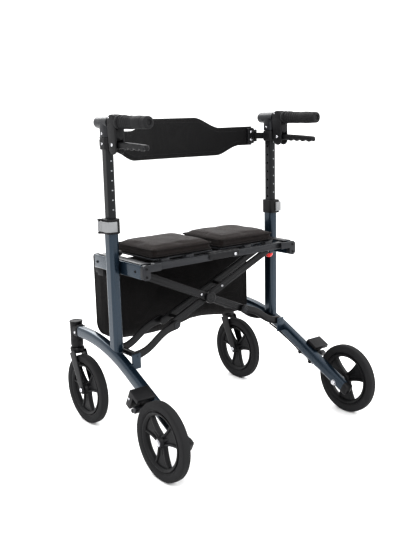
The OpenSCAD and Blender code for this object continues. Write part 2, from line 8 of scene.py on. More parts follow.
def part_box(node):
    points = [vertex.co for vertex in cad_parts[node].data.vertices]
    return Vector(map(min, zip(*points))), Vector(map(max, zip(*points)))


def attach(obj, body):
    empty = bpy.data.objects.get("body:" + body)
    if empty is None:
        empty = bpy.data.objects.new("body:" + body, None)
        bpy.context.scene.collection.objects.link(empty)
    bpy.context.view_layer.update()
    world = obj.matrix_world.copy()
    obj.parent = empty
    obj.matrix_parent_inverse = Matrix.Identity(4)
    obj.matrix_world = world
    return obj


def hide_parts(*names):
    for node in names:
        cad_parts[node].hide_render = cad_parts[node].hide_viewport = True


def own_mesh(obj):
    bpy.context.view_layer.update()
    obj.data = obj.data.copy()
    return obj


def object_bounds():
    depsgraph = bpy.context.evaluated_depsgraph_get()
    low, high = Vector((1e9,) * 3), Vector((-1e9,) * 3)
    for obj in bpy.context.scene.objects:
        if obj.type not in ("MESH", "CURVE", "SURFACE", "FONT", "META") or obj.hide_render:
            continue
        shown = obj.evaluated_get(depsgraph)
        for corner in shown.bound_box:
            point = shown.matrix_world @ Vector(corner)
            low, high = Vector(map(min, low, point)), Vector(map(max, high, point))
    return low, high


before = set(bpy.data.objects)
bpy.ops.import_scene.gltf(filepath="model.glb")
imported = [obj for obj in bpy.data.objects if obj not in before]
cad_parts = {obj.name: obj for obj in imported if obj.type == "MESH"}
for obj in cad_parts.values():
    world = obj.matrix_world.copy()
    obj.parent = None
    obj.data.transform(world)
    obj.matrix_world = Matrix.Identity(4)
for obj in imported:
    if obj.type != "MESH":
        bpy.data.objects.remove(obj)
cad_low, cad_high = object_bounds()
scene = bpy.context.scene
SIDES = {"left": -1, "right": 1}
RIGHT = Vector((1, 0, 0))
FORWARD = Vector((0, 1, 0))
UP = Vector((0, 0, 1))

# ---------------------------------------------------------------------------------------------
# Camera: stands behind the frame's left side, a little above the handles' middle, looking
# forward and to the right across the seat.
# ---------------------------------------------------------------------------------------------
turn = radians(-38.87)
rise = radians(11.47)
tilt = radians(-1.11)
cam_right = Vector((cos(turn), sin(turn), 0))
cam_back = Vector((sin(turn) * cos(rise), -cos(turn) * cos(rise), sin(rise)))
cam_up = cam_back.cross(cam_right)
tilted_right = cam_right * cos(tilt) + cam_up * sin(tilt)
tilted_up = cam_up * cos(tilt) - cam_right * sin(tilt)
cam_axes = Matrix((tilted_right, tilted_up, cam_back)).transposed().to_4x4()
camera_data = bpy.data.cameras.new("camera")
camera_data.lens = 49.4
camera_data.shift_x = -0.0117
camera_data.shift_y = -0.0236
camera = bpy.data.objects.new("camera", camera_data)
camera.matrix_world = Matrix.Translation((-1.306, -1.6403, 0.8819)) @ cam_axes
scene.collection.objects.link(camera)
scene.camera = camera

# ---------------------------------------------------------------------------------------------
# Studio: a white floor that runs off past the view, a pale sky, and three soft lamps.
# ---------------------------------------------------------------------------------------------
FLOOR_GAP = 0.0005
floor_paint = bpy.data.materials.new("studio_floor")
floor_paint.use_nodes = True
floor_shader = floor_paint.node_tree.nodes["Principled BSDF"]
floor_shader.inputs["Base Color"].default_value = (0.9, 0.9, 0.9, 1)
floor_shader.inputs["Roughness"].default_value = 0.7
bm = bmesh.new()
bmesh.ops.create_grid(bm, x_segments=2, y_segments=2, size=12)
floor_mesh = bpy.data.meshes.new("studio_floor")
bm.to_mesh(floor_mesh)
bm.free()
floor_mesh.materials.append(floor_paint)
floor = bpy.data.objects.new("studio_floor", floor_mesh)
floor.location.z = cad_low[2] - FLOOR_GAP
scene.collection.objects.link(floor)

sky = bpy.data.worlds.new("studio_sky")
sky.use_nodes = True
sky.node_tree.nodes["Background"].inputs["Color"].default_value = (1, 1, 1, 1)
sky.node_tree.nodes["Background"].inputs["Strength"].default_value = 1.14
scene.world = sky
scene.view_settings.view_transform = "Standard"
scene.view_settings.look = "High Contrast"

for lamp_name, spot, power, size in (
    ("key_lamp", (-1.6, -1.8, 2.6), 42, 1.6),
    ("side_lamp", (2.2, -1.2, 2.0), 26, 1.8),
    ("back_lamp", (0.4, 2.4, 2.6), 36, 2.0),
):
    lamp_data = bpy.data.lights.new(lamp_name, "AREA")
    lamp_data.energy = power
    lamp_data.size = size
    lamp = bpy.data.objects.new(lamp_name, lamp_data)
    lamp.location = spot
    aim = Vector((0, 0, 0.4)) - Vector(spot)
    lamp.rotation_euler = aim.to_track_quat("-Z", "Y").to_euler()
    scene.collection.objects.link(lamp)

# ---------------------------------------------------------------------------------------------
# Legs: one bent aluminium tube a side, from the caster head back over the rear wheel, powder
# coated slate blue with fine metal flake. Two welded lugs hold the lower arm's pin, and a
# moulded plug closes the rear end.
# ---------------------------------------------------------------------------------------------
POST_Y = 0.054
LEG_X = 0.2875
LEG_HALF_WIDE = 0.0135
LEG_HALF_HIGH = 0.016
LEG_SLOPE = radians(26.9)
LEG_ARC = 0.480
LEG_FRONT_Z = 0.268
LEG_LEVEL_Y = 0.211
LEG_FRONT_Y = 0.2495
LEG_END_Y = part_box("left_leg")[0][1]
LEG_SQUARE = 3.6
REAR_AXLE = Vector((0, -0.220, 0.100))
ARM_HINGE = Vector((0.2575, 0, 0.247))
slope_along = Vector((0, cos(LEG_SLOPE), sin(LEG_SLOPE)))
slope_up = Vector((0, -sin(LEG_SLOPE), cos(LEG_SLOPE)))


def wired(tree, kind, inputs, **settings):
    """A shader node with its settings; each input gets a value or another node's output."""
    node = tree.nodes.new(kind)
    for key, value in settings.items():
        setattr(node, key, value)
    for label, value in inputs.items():
        if isinstance(value, bpy.types.NodeSocket):
            tree.links.new(value, node.inputs[label])
        else:
            node.inputs[label].default_value = value
    return node


def maths(tree, operation, *inputs):
    """The result of a maths node over values or other nodes' outputs."""
    return wired(tree, "ShaderNodeMath", dict(enumerate(inputs)), operation=operation).outputs[0]


def node_group(name, inputs, outputs):
    """A new node group with its inputs' starting values and its outputs' kinds, and its two ends."""
    group = bpy.data.node_groups.new(name, "ShaderNodeTree")
    for label, value in inputs.items():
        kind = "NodeSocketColor" if isinstance(value, tuple) else "NodeSocketFloat"
        group.interface.new_socket(label, in_out="INPUT", socket_type=kind).default_value = value
    for label, kind in outputs.items():
        group.interface.new_socket(label, in_out="OUTPUT", socket_type=f"NodeSocket{kind}")
    return group, group.nodes.new("NodeGroupInput"), group.nodes.new("NodeGroupOutput")


def mottle_group():
    """Small drifts of shade and gloss, with a fine surface grain, for any hard skin."""
    inputs = {"Color": (0.1, 0.1, 0.1, 1), "Shade Drift": 0.15, "Roughness": 0.5, "Gloss Drift": 0.1,
              "Drift Size": 30.0, "Grain Size": 1500.0, "Grain": 0.1}
    outputs = {"Color": "Color", "Roughness": "Float", "Normal": "Vector"}
    group, given, result = node_group("mottle", inputs, outputs)
    place = group.nodes.new("ShaderNodeTexCoord").outputs["Object"]
    drift = wired(group, "ShaderNodeTexNoise",
                  {"Vector": place, "Scale": given.outputs["Drift Size"], "Detail": 4})
    grain = wired(group, "ShaderNodeTexNoise",
                  {"Vector": place, "Scale": given.outputs["Grain Size"], "Detail": 2})
    centred = maths(group, "SUBTRACT", drift.outputs["Fac"], 0.5)
    brighten = maths(group, "MULTIPLY_ADD", centred, given.outputs["Shade Drift"], 1.0)
    shade = wired(group, "ShaderNodeVectorMath", {0: given.outputs["Color"], "Scale": brighten},
                  operation="SCALE")
    gloss = maths(group, "MULTIPLY_ADD", centred, given.outputs["Gloss Drift"], given.outputs["Roughness"])
    bump = wired(group, "ShaderNodeBump",
                 {"Strength": given.outputs["Grain"], "Distance": 0.0004, "Height": grain.outputs["Fac"]})
    group.links.new(shade.outputs["Vector"], result.inputs["Color"])
    group.links.new(gloss, result.inputs["Roughness"])
    group.links.new(bump.outputs["Normal"], result.inputs["Normal"])
    return group


MOTTLE = mottle_group()


def skin(name, group, group_values, shader_values):
    """A material whose node group feeds the shader's inputs of the same names, Color the base one."""
    material = bpy.data.materials.new(name)
    material.use_nodes = True
    tree = material.node_tree
    shader = tree.nodes["Principled BSDF"]
    for label, value in shader_values.items():
        shader.inputs[label].default_value = value
    feed = wired(tree, "ShaderNodeGroup", group_values, node_tree=group)
    for output in feed.outputs:
        tree.links.new(output, shader.inputs["Base Color" if output.name == "Color" else output.name])
    return material


def hard_skin(name, color, roughness, metallic=0.0, coat=0.0, **grain):
    """A moulded, painted or plated skin; grain gives the mottle group's other values."""
    mottle = {"Color": (*color, 1), "Roughness": roughness}
    for label, value in grain.items():
        mottle[label.replace("_", " ").title()] = value
    shader = {"Metallic": metallic, "Coat Weight": coat, "Coat Roughness": 0.12, "Specular IOR Level": 0.28}
    return skin(name, MOTTLE, mottle, shader)


def add_piece(name, bm, material, body, slot, nodes=(), smooth_under=35):
    """Turns a finished bmesh into a piece that rides on a body and stands for the given CAD nodes."""
    bmesh.ops.remove_doubles(bm, verts=bm.verts, dist=0.000005)
    bmesh.ops.recalc_face_normals(bm, faces=bm.faces)
    mesh = bpy.data.meshes.new(name)
    bm.to_mesh(mesh)
    bm.free()
    mesh.materials.append(material)
    mesh.shade_smooth()
    mesh.set_sharp_from_angle(angle=radians(smooth_under))
    piece = bpy.data.objects.new(name, mesh)
    scene.collection.objects.link(piece)
    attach(piece, body)
    if nodes:
        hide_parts(*nodes)
    return piece


def side_body(side_name, body):
    """The body a side's piece rides on; the side frames are root and right_frame."""
    if body == "side_frame":
        return "root" if side_name == "left" else "right_frame"
    return f"{side_name}_{body}"


def add_pair(name, bm, material, body, slot, node=None, smooth_under=35):
    """Adds a piece made for the right side, and its mirror image for the left."""
    for side_name, side in SIDES.items():
        mirrored = bm.copy()
        bmesh.ops.scale(mirrored, vec=(side, 1, 1), verts=mirrored.verts)
        nodes = [f"{side_name}_{node}"] if node else ()
        add_piece(f"{side_name}_{name}", mirrored, material, side_body(side_name, body), slot, nodes,
                  smooth_under)
    bm.free()


def ring_edges(ring):
    """The edges that join a ring's points to each other."""
    return list({e for v in ring for e in v.link_edges if all(w in ring for w in e.verts)})


def loft(bm, stations, sides=24, square=2.0, closed=False):
    """Carries one ring through a row of 4x4 placements; square above 2 squares the ring's corners."""
    ring = bmesh.ops.create_circle(bm, cap_ends=False, segments=sides, radius=1)["verts"]
    for v in ring:
        for axis in (0, 1):
            v.co[axis] = (1 if v.co[axis] > 0 else -1) * abs(v.co[axis]) ** (2 / square)
    rest = [v.co.copy() for v in ring]
    first = ring
    for v, at in zip(ring, rest):
        v.co = stations[0] @ at
    for placement in stations[1:]:
        grown = bmesh.ops.extrude_edge_only(bm, edges=ring_edges(ring))["geom"]
        ring = [next(w for e in v.link_edges for w in e.verts
                     if w in grown and w is not v and (w.co - v.co).length < 1e-9) for v in ring]
        for v, at in zip(ring, rest):
            v.co = placement @ at
    if closed:
        bmesh.ops.bridge_loops(bm, edges=ring_edges(ring) + ring_edges(first))
    else:
        for end in (first, ring):
            bmesh.ops.contextual_create(bm, geom=ring_edges(end))


def station(centre, right, up, a, b):
    """A ring's place: its centre, the directions of its two axes, and its half sizes along them."""
    right = Vector(right).normalized() * a
    up = Vector(up).normalized() * b
    along = right.cross(up)
    return Matrix.Translation(centre) @ Matrix((right, up, along)).transposed().to_4x4()


def rings_along(bm, base, axis, rows, sides=24, square=2.0):
    """Lofts rings along one axis from a base; a row is a distance and one or two half sizes."""
    right, up = [d for d in (RIGHT, FORWARD, UP) if d.dot(axis) == 0]
    stations = [station(Vector(base) + axis * row[0], right, up, row[1], row[-1]) for row in rows]
    loft(bm, stations, sides, square)


def ease_rims(bm, rims, ease, segments):
    """Rounds a set of edges off."""
    bmesh.ops.bevel(bm, geom=rims, offset=ease, offset_type="OFFSET", affect="EDGES",
                    segments=segments, profile=0.5, material=-1)


def flat_end_edges(verts):
    """The edges round the many-sided end faces among some points."""
    edges = {e for v in verts for e in v.link_edges}
    return [e for e in edges if any(len(f.verts) > 4 for f in e.link_faces)]


def rod(bm, start, end, radius, segments=24, ease=0.0):
    """A round rod between two points, its end edges eased."""
    start, end = Vector(start), Vector(end)
    turn_to = (end - start).to_track_quat("Z", "Y").to_matrix().to_4x4()
    made = bmesh.ops.create_cone(
        bm, cap_ends=True, segments=segments, radius1=radius, radius2=radius,
        depth=(end - start).length, matrix=Matrix.Translation((start + end) / 2) @ turn_to)["verts"]
    if ease:
        ease_rims(bm, flat_end_edges(made), ease, 3)


def block(bm, low, high, ease=0.001, segments=3):
    """A box between two corners with eased edges."""
    low, high = Vector(low), Vector(high)
    made = bmesh.ops.create_cube(bm, size=1)["verts"]
    bmesh.ops.scale(bm, vec=high - low, verts=made)
    bmesh.ops.translate(bm, vec=(low + high) / 2, verts=made)
    ease_rims(bm, list({e for v in made for e in v.link_edges}), ease, segments)


def repaint(kind, material):
    """Gives both sides' nodes of a kind a skin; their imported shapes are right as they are."""
    for side_name in SIDES:
        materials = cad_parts[f"{side_name}_{kind}"].data.materials
        materials.clear()
        materials.append(material)


frame_paint = hard_skin("slate_blue_powder_coat", (0.016, 0.029, 0.044), 0.28, metallic=0.55, coat=0.65,
                        shade_drift=0.5, gloss_drift=0.12, drift_size=900, grain_size=2600, grain=0.12)
black_plastic = hard_skin("black_moulded_plastic", (0.010, 0.010, 0.011), 0.42,
                          shade_drift=0.3, gloss_drift=0.25, drift_size=60, grain_size=2200, grain=0.22)

arc_centre = Vector((LEG_X, LEG_LEVEL_Y, LEG_FRONT_Z - LEG_ARC))
leg_path = [(Vector((LEG_X, LEG_FRONT_Y, LEG_FRONT_Z)), 0.0)]
for i in range(25):
    bend = LEG_SLOPE * i / 24
    leg_path.append((arc_centre + LEG_ARC * Vector((0, -sin(bend), cos(bend))), bend))
knee = leg_path[-1][0]
run = (knee.y - LEG_END_Y - LEG_HALF_HIGH * sin(LEG_SLOPE)) / cos(LEG_SLOPE)
leg_tail = knee - run * slope_along
for i in range(1, 9):
    leg_path.append((knee.lerp(leg_tail, i / 8), LEG_SLOPE))
bm = bmesh.new()
stations = [station(at, RIGHT, (0, -sin(b), cos(b)), LEG_HALF_WIDE, LEG_HALF_HIGH) for at, b in leg_path]
loft(bm, stations, sides=40, square=LEG_SQUARE)
for y, low in ((POST_Y - 0.066, 0.213), (POST_Y + 0.029, 0.239)):
    block(bm, (0.2495, y, low), (0.276, y + 0.005, 0.255), 0.0014)
pin_rear = ARM_HINGE + Vector((0, POST_Y - 0.067, 0))
pin_front = ARM_HINGE + Vector((0, POST_Y + 0.036, 0))
rod(bm, pin_rear, pin_front, 0.004, ease=0.0006)
add_pair("leg_tube", bm, frame_paint, "side_frame", "frame_paint", "leg")

bm = bmesh.new()
plug = [(0.012, 0.0145, 0.017), (0.0, 0.0145, 0.017), (-0.003, 0.014, 0.0165), (-0.005, 0.0115, 0.014),
        (-0.0055, 0.006, 0.008)]
loft(bm, [station(leg_tail + slope_along * d, RIGHT, slope_up, a, b) for d, a, b in plug],
     sides=40, square=LEG_SQUARE)
add_pair("leg_plug", bm, black_plastic, "side_frame", "dark_plastic")
repaint("post", frame_paint)

# ---------------------------------------------------------------------------------------------
# Height tubes: extruded tubes that slide in the posts, in a near-black coat, with holes down
# the inner face and printed height marks down the rear one.
# ---------------------------------------------------------------------------------------------
POST_X = 0.283
TUBE_REAR = POST_Y - 0.015
COLLAR_TOP = 0.611
FIRST_MARK = COLLAR_TOP + 0.0235
MARK_PITCH = 0.025
tube_paint = hard_skin("dark_slate_tube_coat", (0.0075, 0.0085, 0.0100), 0.30, metallic=0.2, coat=0.3,
                       shade_drift=0.4, gloss_drift=0.12, drift_size=700, grain_size=2600, grain=0.1)
mark_print = hard_skin("pale_printed_mark", (0.24, 0.25, 0.26), 0.5, shade_drift=0.2, drift_size=800)
repaint("height_tube", tube_paint)
bm = bmesh.new()
for i in range(7):
    z = FIRST_MARK + i * MARK_PITCH
    block(bm, (POST_X - 0.0022, TUBE_REAR - 0.0003, z - 0.0016),
          (POST_X + 0.0022, TUBE_REAR + 0.0002, z + 0.0016), 0.0001, 1)
add_pair("height_marks", bm, mark_print, "handle", "lever_plastic")

# ---------------------------------------------------------------------------------------------
# Clamp collars: a moulded black band round the top of each post, closed by a pale grey lever
# that wraps its outer side and back and turns on a steel pin at the outer front corner.
# ---------------------------------------------------------------------------------------------
lever_plastic = hard_skin("pale_grey_plastic", (0.21, 0.213, 0.218), 0.4, shade_drift=0.12,
                          gloss_drift=0.2, drift_size=50, grain_size=2000, grain=0.15)
steel = hard_skin("plated_steel", (0.58, 0.58, 0.60), 0.26, metallic=1.0, shade_drift=0.3,
                  gloss_drift=0.25, drift_size=120, grain_size=3500, grain=0.08)


def eased_pair(kind, name, ease, material, body, slot, segments=3):
    """Pieces from both sides' CAD nodes, merged into clean faces, with their sharp edges eased."""
    for side_name in SIDES:
        bm = bmesh.new()
        bm.from_mesh(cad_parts[f"{side_name}_{kind}"].data)
        bmesh.ops.remove_doubles(bm, verts=bm.verts, dist=0.00002)
        bmesh.ops.dissolve_limit(bm, angle_limit=radians(1), verts=bm.verts, edges=bm.edges)
        sharp = [e for e in bm.edges if e.is_manifold and e.calc_face_angle(0) > radians(35)]
        ease_rims(bm, sharp, ease, segments)
        add_piece(f"{side_name}_{name}", bm, material, side_body(side_name, body), slot,
                  [f"{side_name}_{kind}"])


def screw_head(bm, at, facing, radius, height=0.002):
    """A low domed socket screw head, standing at a point and facing along a direction."""
    face_to = Matrix.Translation(at) @ Vector(facing).to_track_quat("Z", "Y").to_matrix().to_4x4()
    rings = [(1.0, -0.3), (1.0, 0.35), (0.93, 0.7), (0.78, 0.95), (0.5, 1.05), (0.46, 1.05), (0.40, 0.1)]
    stations = []
    for r, h in rings:
        size = Matrix.Diagonal((radius * r, radius * r, 1, 1))
        stations.append(face_to @ Matrix.Translation((0, 0, height * h)) @ size)
    loft(bm, stations)


def add_screws(name, heads, body, material=steel, slot="steel"):
    """A pair of pieces made of screw heads; a head is its point, direction, radius and maybe height."""
    bm = bmesh.new()
    for head in heads:
        screw_head(bm, *head)
    add_pair(name, bm, material, body, slot)


eased_pair("collar", "collar_band", 0.0012, black_plastic, "side_frame", "dark_plastic")
eased_pair("collar_lever", "clamp_handle", 0.0012, lever_plastic, "clamp", "lever_plastic")
add_screws("clamp_pin", [((POST_X + 0.025, POST_Y + 0.017, COLLAR_TOP), UP, 0.0032, 0.0012)], "side_frame")

# ---------------------------------------------------------------------------------------------
# Handle heads: a die-cast tee on top of each height tube, painted dark grey, with a domed front
# end and a bar that carries the brake housing and the grip.
# ---------------------------------------------------------------------------------------------
GRIP_Z = 0.856
TEE_FRONT = POST_Y + 0.043
TEE_REAR = POST_Y - 0.0205
casting_paint = hard_skin("dark_grey_casting_paint", (0.026, 0.027, 0.030), 0.40, metallic=0.35, coat=0.2,
                          shade_drift=0.35, gloss_drift=0.2, drift_size=200, grain_size=1800, grain=0.25)
bm = bmesh.new()
tee = [(TEE_REAR, 0.0148), (TEE_REAR + 0.0007, 0.0155), (TEE_FRONT - 0.007, 0.0155),
       (TEE_FRONT - 0.004, 0.0149), (TEE_FRONT - 0.0018, 0.0135), (TEE_FRONT - 0.0004, 0.0108),
       (TEE_FRONT, 0.007), (TEE_FRONT + 0.0002, 0.002)]
rings_along(bm, (POST_X, 0, GRIP_Z), FORWARD, tee, 48)
neck = [(0.819, 0.0143, 0.0183), (0.8195, 0.0149, 0.0189), (0.821, 0.015, 0.019), (0.838, 0.015, 0.019),
        (0.848, 0.0152, 0.0192), (GRIP_Z, 0.0153, 0.0194)]
rings_along(bm, (POST_X, POST_Y, 0), UP, neck, 48, 3)
rod(bm, (POST_X, POST_Y - 0.186, GRIP_Z), (POST_X, TEE_REAR + 0.001, GRIP_Z), 0.011, 32)
add_pair("tee", bm, casting_paint, "handle", "grey_casting", "handle_head")
tee_screws = [((POST_X + face * 0.015, POST_Y, 0.8285), face * RIGHT, 0.0035) for face in (1, -1)]
add_screws("tee_screws", tee_screws, "handle")

# ---------------------------------------------------------------------------------------------
# Grips: soft rubber over the bar, with a flange at the front, a run of ribs for the fingers, a
# thumb rest on top and a palm swell that ends in a flat butt with a round socket.
# ---------------------------------------------------------------------------------------------
GRIP_FRONT = POST_Y - 0.062
GRIP_LENGTH = 0.130
FLANGE = 0.010
RIB_PITCH = 0.0092
BUTT_START = GRIP_LENGTH - 0.005
grip_rubber = hard_skin("grip_rubber", (0.014, 0.014, 0.015), 0.62, shade_drift=0.35, gloss_drift=0.25,
                        drift_size=90, grain_size=2600, grain=0.5)


def grip_radius(s):
    """Half width and half height of the grip at a distance s back from its front."""
    if s < FLANGE:
        flange = 0.0185 - 0.0012 * abs(s - FLANGE / 2) / (FLANGE / 2)
        return flange, flange
    rib = 0.0013 * max(0.0, cos(2 * pi * (s - 0.019) / RIB_PITCH)) if 0.016 < s < 0.064 else 0.0
    palm = exp(-((s - 0.088) / 0.024) ** 2)
    close = 0.75 + 0.25 * sqrt(max(0.0, 1 - ((s - BUTT_START) / 0.005) ** 2)) if s > BUTT_START else 1.0
    groove = 0.0008 if any(abs(s - g) < 0.0008 for g in (0.070, 0.110)) else 0.0
    width = 0.0146 + rib + 0.0018 * palm - groove
    height = 0.0150 + rib + 0.0015 * palm - groove
    return width * close, height * close


bm = bmesh.new()
rings = []
for i in range(118):
    s = GRIP_LENGTH * i / 117
    a, b = grip_radius(s)
    thumb = 0.0022 * exp(-((s - 0.022) / 0.012) ** 2)
    rings.append(station((POST_X, GRIP_FRONT - s, GRIP_Z + thumb / 2), RIGHT, UP, a, b + thumb / 2))
for inset, radius in ((0.0, 0.0078), (0.0004, 0.0072), (0.0028, 0.0066)):
    rings.append(station((POST_X, GRIP_FRONT - GRIP_LENGTH + inset, GRIP_Z), RIGHT, UP, radius, radius))
loft(bm, rings, sides=40, square=2.2)
add_pair("hand_grip", bm, grip_rubber, "handle", "grip_rubber", "grip", 50)

# ---------------------------------------------------------------------------------------------
# Brake housings: a long oval moulding round the bar, in two halves screwed together, with the
# brake lever's round boss between its cheeks.
# ---------------------------------------------------------------------------------------------
LEVER_PIVOT = Vector((POST_X, POST_Y - 0.045, 0.801))
SHELL_TOP = Vector((POST_X, POST_Y - 0.041, GRIP_Z))
SHELL_LOW = Vector((POST_X, POST_Y - 0.046, 0.793))


def oval_plate(bm, top, bottom, r_top, r_bottom, thick, ease, sides=56):
    """A plate in the YZ plane round two circles, centred on its points' X, with eased rims."""
    along = (top - bottom).normalized()
    across = Vector((0, along.z, -along.y))
    ring = bmesh.ops.create_circle(bm, cap_ends=True, segments=sides, radius=1)["verts"]
    for i, v in enumerate(ring):
        angle = 2 * pi * (i + 0.5) / sides
        centre, radius = (top, r_top) if sin(angle) > 0 else (bottom, r_bottom)
        v.co = centre + radius * (cos(angle) * across + sin(angle) * along)
        v.co.x -= thick / 2
    face = ring[0].link_faces[0]
    grown = bmesh.ops.extrude_face_region(bm, geom=[face], use_keep_orig=True)["geom"]
    moved = [v for v in grown if isinstance(v, bmesh.types.BMVert)]
    bmesh.ops.translate(bm, vec=(thick, 0, 0), verts=moved)
    ease_rims(bm, flat_end_edges(ring + moved), ease, 5)


bm = bmesh.new()
split = SHELL_TOP.lerp(SHELL_LOW, 0.52)
oval_plate(bm, SHELL_TOP, split, 0.020, 0.0185, 0.028, 0.004)
for cheek in (-1, 1):
    shift = RIGHT * cheek * 0.0115
    oval_plate(bm, SHELL_TOP.lerp(SHELL_LOW, 0.3) + shift, SHELL_LOW + shift, 0.0182, 0.016, 0.0058, 0.0022)
# The parting seam is a thin raised line between the halves.
oval_plate(bm, SHELL_TOP, split, 0.0203, 0.0188, 0.0012, 0.0003)
add_pair("brake_shell", bm, black_plastic, "handle", "dark_plastic", "brake_housing")
brake_screws = []
for cheek in (-1, 1):
    brake_screws.append((LEVER_PIVOT + RIGHT * cheek * 0.0144, RIGHT * cheek, 0.0044))
    brake_screws.append(((POST_X + cheek * 0.0140, POST_Y - 0.034, 0.868), RIGHT * cheek, 0.0026))
add_screws("brake_screws", brake_screws, "handle")

# ---------------------------------------------------------------------------------------------
# Brake levers: one moulding each, a round boss on the pivot and a long blade under the grip
# with four finger waves and a hanging hole near its tip.
# ---------------------------------------------------------------------------------------------
LEVER_TIP = Vector((POST_X, POST_Y - 0.184, 0.794))
LEVER_HALF_WIDE = 0.0072
bm = bmesh.new()
rings = []
for i in range(73):
    t = i / 72
    s = (LEVER_PIVOT.y - LEVER_TIP.y) * t
    top_z = 0.8085 - 0.0015 * t - 0.004 * t * t
    wave = 0.0018 * cos(2 * pi * (s - 0.045) / 0.024) if 0.040 < s < 0.135 else 0.0
    deep = 0.0178 - 0.0035 * t + wave
    tip_close = sqrt(max(0.03, 1 - max(0.0, (t - 0.955) / 0.046) ** 2))
    root_close = 1.0 if t > 0.04 else 0.8
    half_wide = LEVER_HALF_WIDE * (1 - 0.12 * t) * tip_close * root_close
    rings.append(station((POST_X, LEVER_PIVOT.y - s, top_z - deep / 2), RIGHT, UP, half_wide,
                         deep / 2 * tip_close))
loft(bm, rings, sides=28, square=3.2)
oval_plate(bm, LEVER_PIVOT + UP * 0.0001, LEVER_PIVOT, 0.0108, 0.0108, 0.0146, 0.0016)
add_pair("brake_blade", bm, black_plastic, "lever", "dark_plastic", "brake_lever", 50)
bm = bmesh.new()
eyelet = [(0.0055, 0.0044), (0.0066, 0.0044), (0.0070, 0.0040), (0.0070, 0.0030), (0.0057, 0.0028)]
for cheek in (-1, 1):
    rings_along(bm, LEVER_TIP + Vector((0, 0.009, 0.001)), RIGHT * cheek, eyelet)
add_pair("brake_blade_eyelet", bm, casting_paint, "lever", "grey_casting")

# ---------------------------------------------------------------------------------------------
# Strap brackets: moulded clamps round the height tubes below the tees, each with an ear whose
# steel pin carries one end of the back strap.
# ---------------------------------------------------------------------------------------------
STRAP_HINGE = Vector((0.268, POST_Y + 0.051, 0.803))
eased_pair("strap_bracket", "strap_clamp", 0.0014, black_plastic, "handle", "dark_plastic")
clamp_screws = [((POST_X + 0.0155, POST_Y, 0.803), RIGHT, 0.0036),
                ((STRAP_HINGE.x, STRAP_HINGE.y, 0.821), UP, 0.0045)]
add_screws("strap_clamp_screws", clamp_screws, "handle")

# ---------------------------------------------------------------------------------------------
# Back strap: one padded band of woven cloth, bowed forward between the handles, deep in its
# middle and narrow at its ends, with bound edges and a stitched line inside each binding. Its
# ends are riveted into moulded plates that hang on the brackets' pins.
# ---------------------------------------------------------------------------------------------
STRAP_HALF = 0.259
STRAP_BOW = 0.054
STRAP_THICK = 0.014
STRAP_TOP = 0.861
STRAP_LOW = 0.752
STRAP_END_TOP = 0.829
STRAP_END_LOW = 0.778
PLATE_REAR = STRAP_HINGE.y - 0.0070
PLATE_FRONT = STRAP_HINGE.y + 0.0078
STITCHES = 130
strap_radius = (STRAP_HALF ** 2 + STRAP_BOW ** 2) / (2 * STRAP_BOW)
arc_half = (STRAP_HALF - 0.004) * 1.024


def cloth_group():
    """Woven cloth: crossing threads in relief, with slow drifts of shade."""
    inputs = {"Color": (0.1, 0.1, 0.1, 1), "Thread Color": (0.2, 0.2, 0.2, 1), "Thread Size": 700.0,
              "Relief": 0.5, "Fade": 0.3}
    group, given, result = node_group("cloth_weave", inputs, {"Color": "Color", "Normal": "Vector"})
    place = group.nodes.new("ShaderNodeTexCoord").outputs["Object"]
    threads = {"Vector": place, "Scale": given.outputs["Thread Size"], "Distortion": 1.2, "Detail": 2}
    waves = []
    for direction in ("X", "Y", "Z"):
        wave = wired(group, "ShaderNodeTexWave", threads, wave_type="BANDS", bands_direction=direction)
        waves.append(wave.outputs["Fac"])
    weave = maths(group, "MULTIPLY", maths(group, "MAXIMUM", waves[0], waves[1]), waves[2])
    drift = wired(group, "ShaderNodeTexNoise", {"Vector": place, "Scale": 22, "Detail": 6})
    faded = maths(group, "MULTIPLY", drift.outputs["Fac"], given.outputs["Fade"])
    shades = {"Factor": maths(group, "MULTIPLY_ADD", weave, 0.55, faded), "A": given.outputs["Color"],
              "B": given.outputs["Thread Color"]}
    mix = wired(group, "ShaderNodeMix", shades, data_type="RGBA")
    bump = wired(group, "ShaderNodeBump",
                 {"Strength": given.outputs["Relief"], "Distance": 0.0006, "Height": weave})
    group.links.new(mix.outputs["Result"], result.inputs["Color"])
    group.links.new(bump.outputs["Normal"], result.inputs["Normal"])
    return group


CLOTH = cloth_group()


def cloth_skin(name, color, thread, thread_size, relief=0.5, fade=0.3, sheen=0.07, roughness=0.85):
    """A woven cloth with its own thread size, in two near shades."""
    weave = {"Color": (*color, 1), "Thread Color": (*thread, 1), "Thread Size": thread_size,
             "Relief": relief, "Fade": fade}
    shader = {"Roughness": roughness, "Sheen Weight": sheen, "Sheen Roughness": 0.5,
              "Specular IOR Level": 0.25}
    return skin(name, CLOTH, weave, shader)


strap_cloth = cloth_skin("black_strap_cloth", (0.0045, 0.0044, 0.0048), (0.0125, 0.0122, 0.0130), 320)
binding_cloth = cloth_skin("black_binding_tape", (0.0042, 0.0042, 0.0045), (0.011, 0.011, 0.0115), 520,
                           relief=0.8)
stitch_thread = cloth_skin("dark_grey_thread", (0.03, 0.03, 0.032), (0.06, 0.06, 0.062), 1500)


def ease_between(x, low, high):
    """0 below low, 1 above high, and a smooth step between them."""
    t = min(1.0, max(0.0, (x - low) / (high - low)))
    return t * t * (3 - 2 * t)


def strap_at(x):
    """The strap's middle at x along its bow, at no height, and the direction out of its front."""
    outward = Vector((sin(x / strap_radius), cos(x / strap_radius), 0))
    return Vector((0, STRAP_HINGE.y + STRAP_BOW - strap_radius, 0)) + outward * strap_radius, outward


